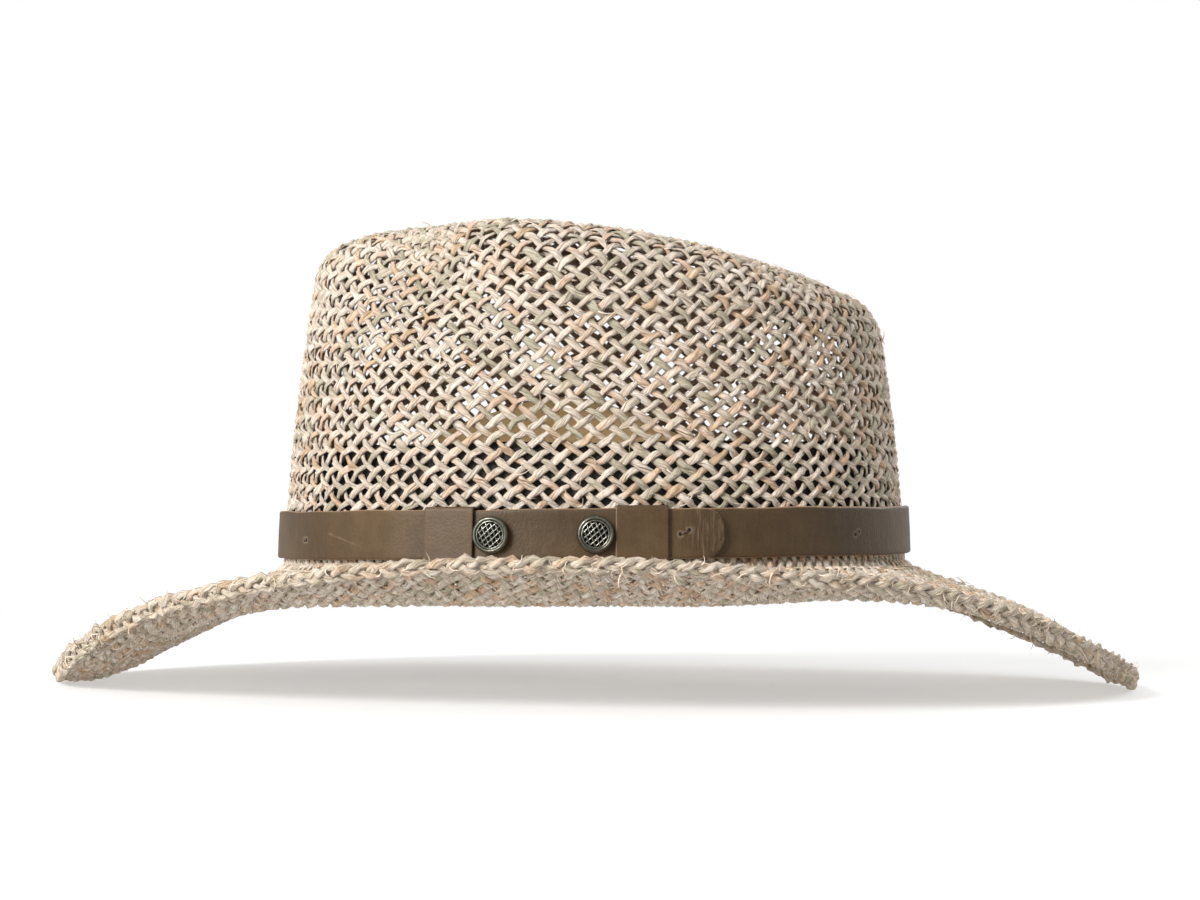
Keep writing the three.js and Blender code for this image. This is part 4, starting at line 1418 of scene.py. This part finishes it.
def sweatband():
    """A strip sewn in a ring inside the crown, its free edge higher on the wearer's right."""
    columns = 300
    angles = even_angles(columns)
    face = -STRAW_WALL - SWEATBAND_GAP
    low = -SWEATBAND_BELOW_ROOT
    shares = np.linspace(0, 1, 10)
    points, inner = [], []
    for angle in angles:
        x, y = wall_plan(angle, 0, 0)
        away = min(abs(y - SWEATBAND_RISE_AT) / SWEATBAND_RISE_REACH, 1)
        rise = SWEATBAND_RISE * (1 + math.cos(math.pi * away)) / 2 if x < 0 else 0
        tall = SWEATBAND_HEIGHT + rise + 0.35 * math.sin(angle * 11)
        for share in shares:
            points.append(beside_wall(np.float64(angle), low + tall * share, face))
            inner.append(0.0)
        for share in shares[::-1]:
            thin = 0.35 if share in (0.0, 1.0) else 0.0
            off = face - SWEATBAND_WALL + thin
            points.append(beside_wall(np.float64(angle), low + tall * share, off))
            inner.append(1.0)
    faces = strip_faces(columns, 2 * len(shares), closed=True)
    return tidied(mesh_piece("sweatband_cloth", points, faces, twill, {"inner": inner}))


# Loose fibres


# Loose fibres start only this high above the floor, so that none reaches below it.
FIBRE_CLEARANCE = 7.0


def fibre_tree():
    """Sets short curled fibres on some of the points of the strands."""
    nodes, start, end = geometry_tree("loose_fibres", [
        ("Share", "Float"), ("Length", "Float"), ("Thickness", "Float"), ("Lift", "Float"),
        ("Stray", "Float"), ("Weave rise", "Float"), ("Material", "Material"),
    ])

    def chance(kind, low, high, seed):
        node = nodes.add("FunctionNodeRandomValue", data_type=kind)
        ends = [socket for socket in node.inputs if socket.name in ("Min", "Max") and socket.enabled]
        ends[0].default_value, ends[1].default_value = low, high
        node.inputs["Seed"].default_value = seed
        return next(socket for socket in node.outputs if socket.enabled)

    picked = nodes.add("FunctionNodeRandomValue", data_type="BOOLEAN")
    parts = nodes.add("ShaderNodeSeparateXYZ")
    nodes.join(nodes.add("GeometryNodeInputPosition").outputs[0], parts.inputs[0])
    off_floor = nodes.math("GREATER_THAN", parts.outputs[2], FIBRE_CLEARANCE * MM)
    share = nodes.math("MULTIPLY", start.outputs["Share"], off_floor)
    nodes.join(share, picked.inputs["Probability"])
    picked.inputs["Seed"].default_value = SEED
    bend = nodes.add("GeometryNodeCurveQuadraticBezier")
    bend.inputs["Resolution"].default_value = 5
    tip = nodes.add("ShaderNodeCombineXYZ")
    nodes.join(start.outputs["Length"], tip.inputs[0])
    nodes.join(nodes.math("MULTIPLY", start.outputs["Length"], 0.3), tip.inputs[1])
    nodes.join(start.outputs["Lift"], tip.inputs[2])
    knee = nodes.add("ShaderNodeCombineXYZ")
    nodes.join(nodes.math("MULTIPLY", start.outputs["Length"], 0.5), knee.inputs[0])
    nodes.join(nodes.math("MULTIPLY", start.outputs["Length"], -0.12), knee.inputs[1])
    nodes.join(start.outputs["Lift"], knee.inputs[2])
    bend.inputs["Start"].default_value = (0, 0, 0)
    nodes.join(knee.outputs[0], bend.inputs["Middle"])
    nodes.join(tip.outputs[0], bend.inputs["End"])
    ring = nodes.add("GeometryNodeCurvePrimitiveCircle")
    ring.inputs["Resolution"].default_value = 4
    ring.inputs["Radius"].default_value = 1.0
    taper = nodes.add("GeometryNodeSplineParameter").outputs["Factor"]
    tapered = nodes.math("MULTIPLY_ADD", taper, -0.7, 1.0)
    thick = nodes.math("MULTIPLY", tapered, start.outputs["Thickness"])
    tube = nodes.add("GeometryNodeCurveToMesh")
    nodes.join(bend.outputs[0], tube.inputs["Curve"])
    nodes.join(ring.outputs["Curve"], tube.inputs["Profile Curve"])
    nodes.join(thick, tube.inputs["Scale"])
    tube.inputs["Fill Caps"].default_value = True

    facing_out = nodes.add("FunctionNodeAxesToRotation", primary_axis="Z", secondary_axis="X")
    nodes.join(named(nodes, "face", "FLOAT_VECTOR"), facing_out.inputs["Primary Axis"])
    anywhere = chance("FLOAT_VECTOR", (-1, -1, -1), (1, 1, 1), SEED + 1)
    astray = nodes.vector("SCALE", anywhere, start.outputs["Stray"])
    onward = nodes.vector("NORMALIZE", named(nodes, "ahead", "FLOAT_VECTOR"))
    onward = nodes.vector("SCALE", onward, nodes.math("SIGN", chance("FLOAT", -1.0, 1.0, SEED + 3)))
    nodes.join(nodes.vector("ADD", onward, astray), facing_out.inputs["Secondary Axis"])
    lift = nodes.math("MULTIPLY", named(nodes, "rise"), start.outputs["Weave rise"])
    lift = nodes.math("MULTIPLY_ADD", named(nodes, "width"), 0.22, lift)
    raised = nodes.add("GeometryNodeSetPosition")
    nodes.join(start.outputs["Geometry"], raised.inputs["Geometry"])
    outward = nodes.vector("SCALE", named(nodes, "face", "FLOAT_VECTOR"), lift)
    nodes.join(outward, raised.inputs["Offset"])
    grow = nodes.add("GeometryNodeInstanceOnPoints")
    nodes.join(raised.outputs[0], grow.inputs["Points"])
    nodes.join(picked.outputs[3], grow.inputs["Selection"])
    nodes.join(tube.outputs[0], grow.inputs["Instance"])
    nodes.join(facing_out.outputs[0], grow.inputs["Rotation"])
    size = nodes.add("ShaderNodeCombineXYZ")
    for socket, (low, high) in zip(size.inputs, ((0.45, 1.3), (0.4, 1.6), (0.3, 1.5))):
        nodes.join(chance("FLOAT", low, high, SEED + 2 + int(high * 10)), socket)
    nodes.join(size.outputs[0], grow.inputs["Scale"])
    tinted = stored(nodes, grow.outputs[0], "tint", chance("FLOAT", 0.2, 0.9, SEED + 9), "INSTANCE")
    finished(nodes, tinted, start.outputs["Material"], end)
    return nodes.tree


def fibres(name, lines, material, tree, **inputs):
    piece = bpy.data.objects.new(name, lines)
    bpy.context.scene.collection.objects.link(piece)
    return grown(piece, tree, material=material, **inputs)


crown_pieces = crown_weave()
brim_pieces = brim_weave()
braid = edge_braid()
band = tidied(leather_band())
# Each loop's first end value is a pale raw edge; the second, -0.8, is a painted shadow line at that
# end.
loops = [tidied(leather_loop("leather_loop_front", FRONT_LOOP_AT, (0.1, -0.8), 0.08)),
         tidied(leather_loop("leather_loop_back", BACK_LOOP_AT, (0.7, -0.8), 0.0))]
tacks = tack_threads()
studs = [stud("lattice_stud_front", FRONT_STUD_AT), stud("lattice_stud_back", BACK_STUD_AT)]
cloth = sweatband()

fibre_nodes = fibre_tree()
tufts = [
    fibres("crown_fibres", for_fibres["crown"][0], crown_grass, fibre_nodes, share=0.11,
           length=4.2 * MM, thickness=0.15 * MM, lift=0.35 * MM, stray=0.45,
           weave_rise=CROWN_WEAVE_RISE * MM),
    fibres("crown_frays", for_fibres["crown"][1], crown_grass, fibre_nodes, share=0.02,
           length=4.8 * MM, thickness=0.2 * MM, lift=1.1 * MM, stray=2.0,
           weave_rise=CROWN_WEAVE_RISE * MM),
    fibres("brim_fibres", for_fibres["brim"][0], brim_grass, fibre_nodes, share=0.07,
           length=4.0 * MM, thickness=0.17 * MM, lift=0.5 * MM, stray=0.5,
           weave_rise=BRIM_WEAVE_RISE * MM),
    fibres("edge_fibres", for_fibres["edge"][0], braid_grass, fibre_nodes, share=0.32,
           length=3.4 * MM, thickness=0.2 * MM, lift=1.2 * MM, stray=1.4, weave_rise=0.0),
]

for piece in crown_pieces + brim_pieces:
    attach(piece, "root")
    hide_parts("straw_body")
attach(braid, "root")
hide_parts("brim_edge")
for piece, slot in zip(tufts, ("seagrass", "seagrass", "seagrass", "seagrass_edge")):
    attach(piece, "root")
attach(band, "root")
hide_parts("hat_band")
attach(tacks, "root")
for piece, node in zip(loops, ("band_loop_front", "band_loop_back")):
    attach(piece, "root")
    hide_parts(node)
for piece, node in zip(studs, ("stud_front", "stud_back")):
    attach(piece, "root")
    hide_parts(node)
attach(cloth, "root")
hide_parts("sweatband")
for node, material in (
    ("straw_body", crown_grass), ("brim_edge", braid_grass), ("hat_band", hide),
    ("band_loop_front", hide), ("band_loop_back", hide), ("stud_front", metal),
    ("stud_back", metal), ("sweatband", twill),
):
    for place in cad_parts[node].material_slots:
        place.material = material


# Studio


FLOOR_RADIUS = 6000
FLOOR_GLOW = 0.52
ROOM_LIGHT = 0.63
# Soft lights: name, place, aim and size in metres, and power in watts.
LIGHTS = [
    ("key", (1.6, -1.4, 1.2), (0, 0, 0.08), 1.0, 67),
    ("fill", (1.6, -1.4, 0.06), (0, -0.03, 0.05), 1.0, 19),
    ("back", (-1.1, 1.4, 1.1), (0, 0, 0.08), 1.4, 19),
]
# The camera where the photo was taken from: metres, millimetres of lens, degrees of roll.
CAMERA_PLACE = (1.0, 0.0008, 0.0584)
CAMERA_AIM = (0, 0.0008, 0.0787)
CAMERA_LENS = 88.8
CAMERA_ROLL = 0.4


def studio_floor():
    """A pale round floor that fades into the white surroundings."""
    points = [np.array([0.0, 0.0, 0.0])]
    sides = 96
    for side in range(sides):
        turn = 2 * math.pi * side / sides
        points.append(np.array([math.cos(turn), math.sin(turn), 0]) * FLOOR_RADIUS)
    faces = [(0, side + 1, (side + 1) % sides + 1) for side in range(sides)]
    paint = Paint("pale_floor")
    distance = paint.vector("LENGTH", paint.place())
    length = distance.node.outputs["Value"]
    fade = paint.ramp(length, [(0.0, 0.4), (0.22, 0.45), (0.7, 1.0)], smooth_steps=True)
    paint.shader.inputs["Base Color"].default_value = srgb(246, 246, 244)
    paint.shader.inputs["Roughness"].default_value = 0.9
    glow = paint.add("ShaderNodeEmission")
    glow.inputs["Color"].default_value = (1, 1, 1, 1)
    glow.inputs["Strength"].default_value = 1.0
    blend = paint.add("ShaderNodeMixShader")
    paint.join(fade, blend.inputs[0])
    paint.join(paint.shader.outputs[0], blend.inputs[1])
    paint.join(glow.outputs[0], blend.inputs[2])
    bounce = paint.add("ShaderNodeBsdfDiffuse")
    bounce.inputs["Color"].default_value = (0.75, 0.75, 0.75, 1)
    dim = paint.add("ShaderNodeMixShader")
    dim.inputs[0].default_value = FLOOR_GLOW
    paint.join(bounce.outputs[0], dim.inputs[1])
    paint.join(glow.outputs[0], dim.inputs[2])
    pick = paint.add("ShaderNodeMixShader")
    paint.join(paint.add("ShaderNodeLightPath").outputs["Is Camera Ray"], pick.inputs[0])
    paint.join(dim.outputs[0], pick.inputs[1])
    paint.join(blend.outputs[0], pick.inputs[2])
    paint.join(pick.outputs[0], paint.tree.nodes["Material Output"].inputs["Surface"])
    floor = mesh_piece("studio_floor", points, faces, paint.material)
    floor.location.z = -0.0002
    return floor


def soft_light(name, place, target, size, power):
    lamp = bpy.data.lights.new(name, "AREA")
    lamp.shape = "DISK"
    lamp.size = size
    lamp.energy = power
    holder = bpy.data.objects.new(name, lamp)
    bpy.context.scene.collection.objects.link(holder)
    holder.location = place
    holder.rotation_euler = (Vector(target) - Vector(place)).to_track_quat("-Z", "Y").to_euler()
    return holder


def camera():
    lens = bpy.data.cameras.new("camera")
    lens.sensor_width = 36.0
    lens.lens = CAMERA_LENS
    lens.clip_start = 0.01
    holder = bpy.data.objects.new("camera", lens)
    bpy.context.scene.collection.objects.link(holder)
    holder.location = CAMERA_PLACE
    look = Vector(CAMERA_AIM) - holder.location
    turn = look.to_track_quat("-Z", "Y").to_matrix().to_4x4()
    turn = turn @ Matrix.Rotation(math.radians(CAMERA_ROLL), 4, "Z")
    holder.rotation_euler = turn.to_euler()
    bpy.context.scene.camera = holder
    return holder


studio_floor()
for light in LIGHTS:
    soft_light(*light)
world = bpy.data.worlds.new("white_room")
world.use_nodes = True
room = Nodes(world.node_tree)
sky = world.node_tree.nodes["Background"]
sky.inputs["Color"].default_value = (1, 1, 1, 1)
seen = room.add("ShaderNodeLightPath").outputs["Is Camera Ray"]
room.join(room.math("MULTIPLY_ADD", seen, 1 - ROOM_LIGHT, ROOM_LIGHT), sky.inputs["Strength"])
bpy.context.scene.world = world
bpy.context.scene.view_settings.view_transform = "Standard"
camera()
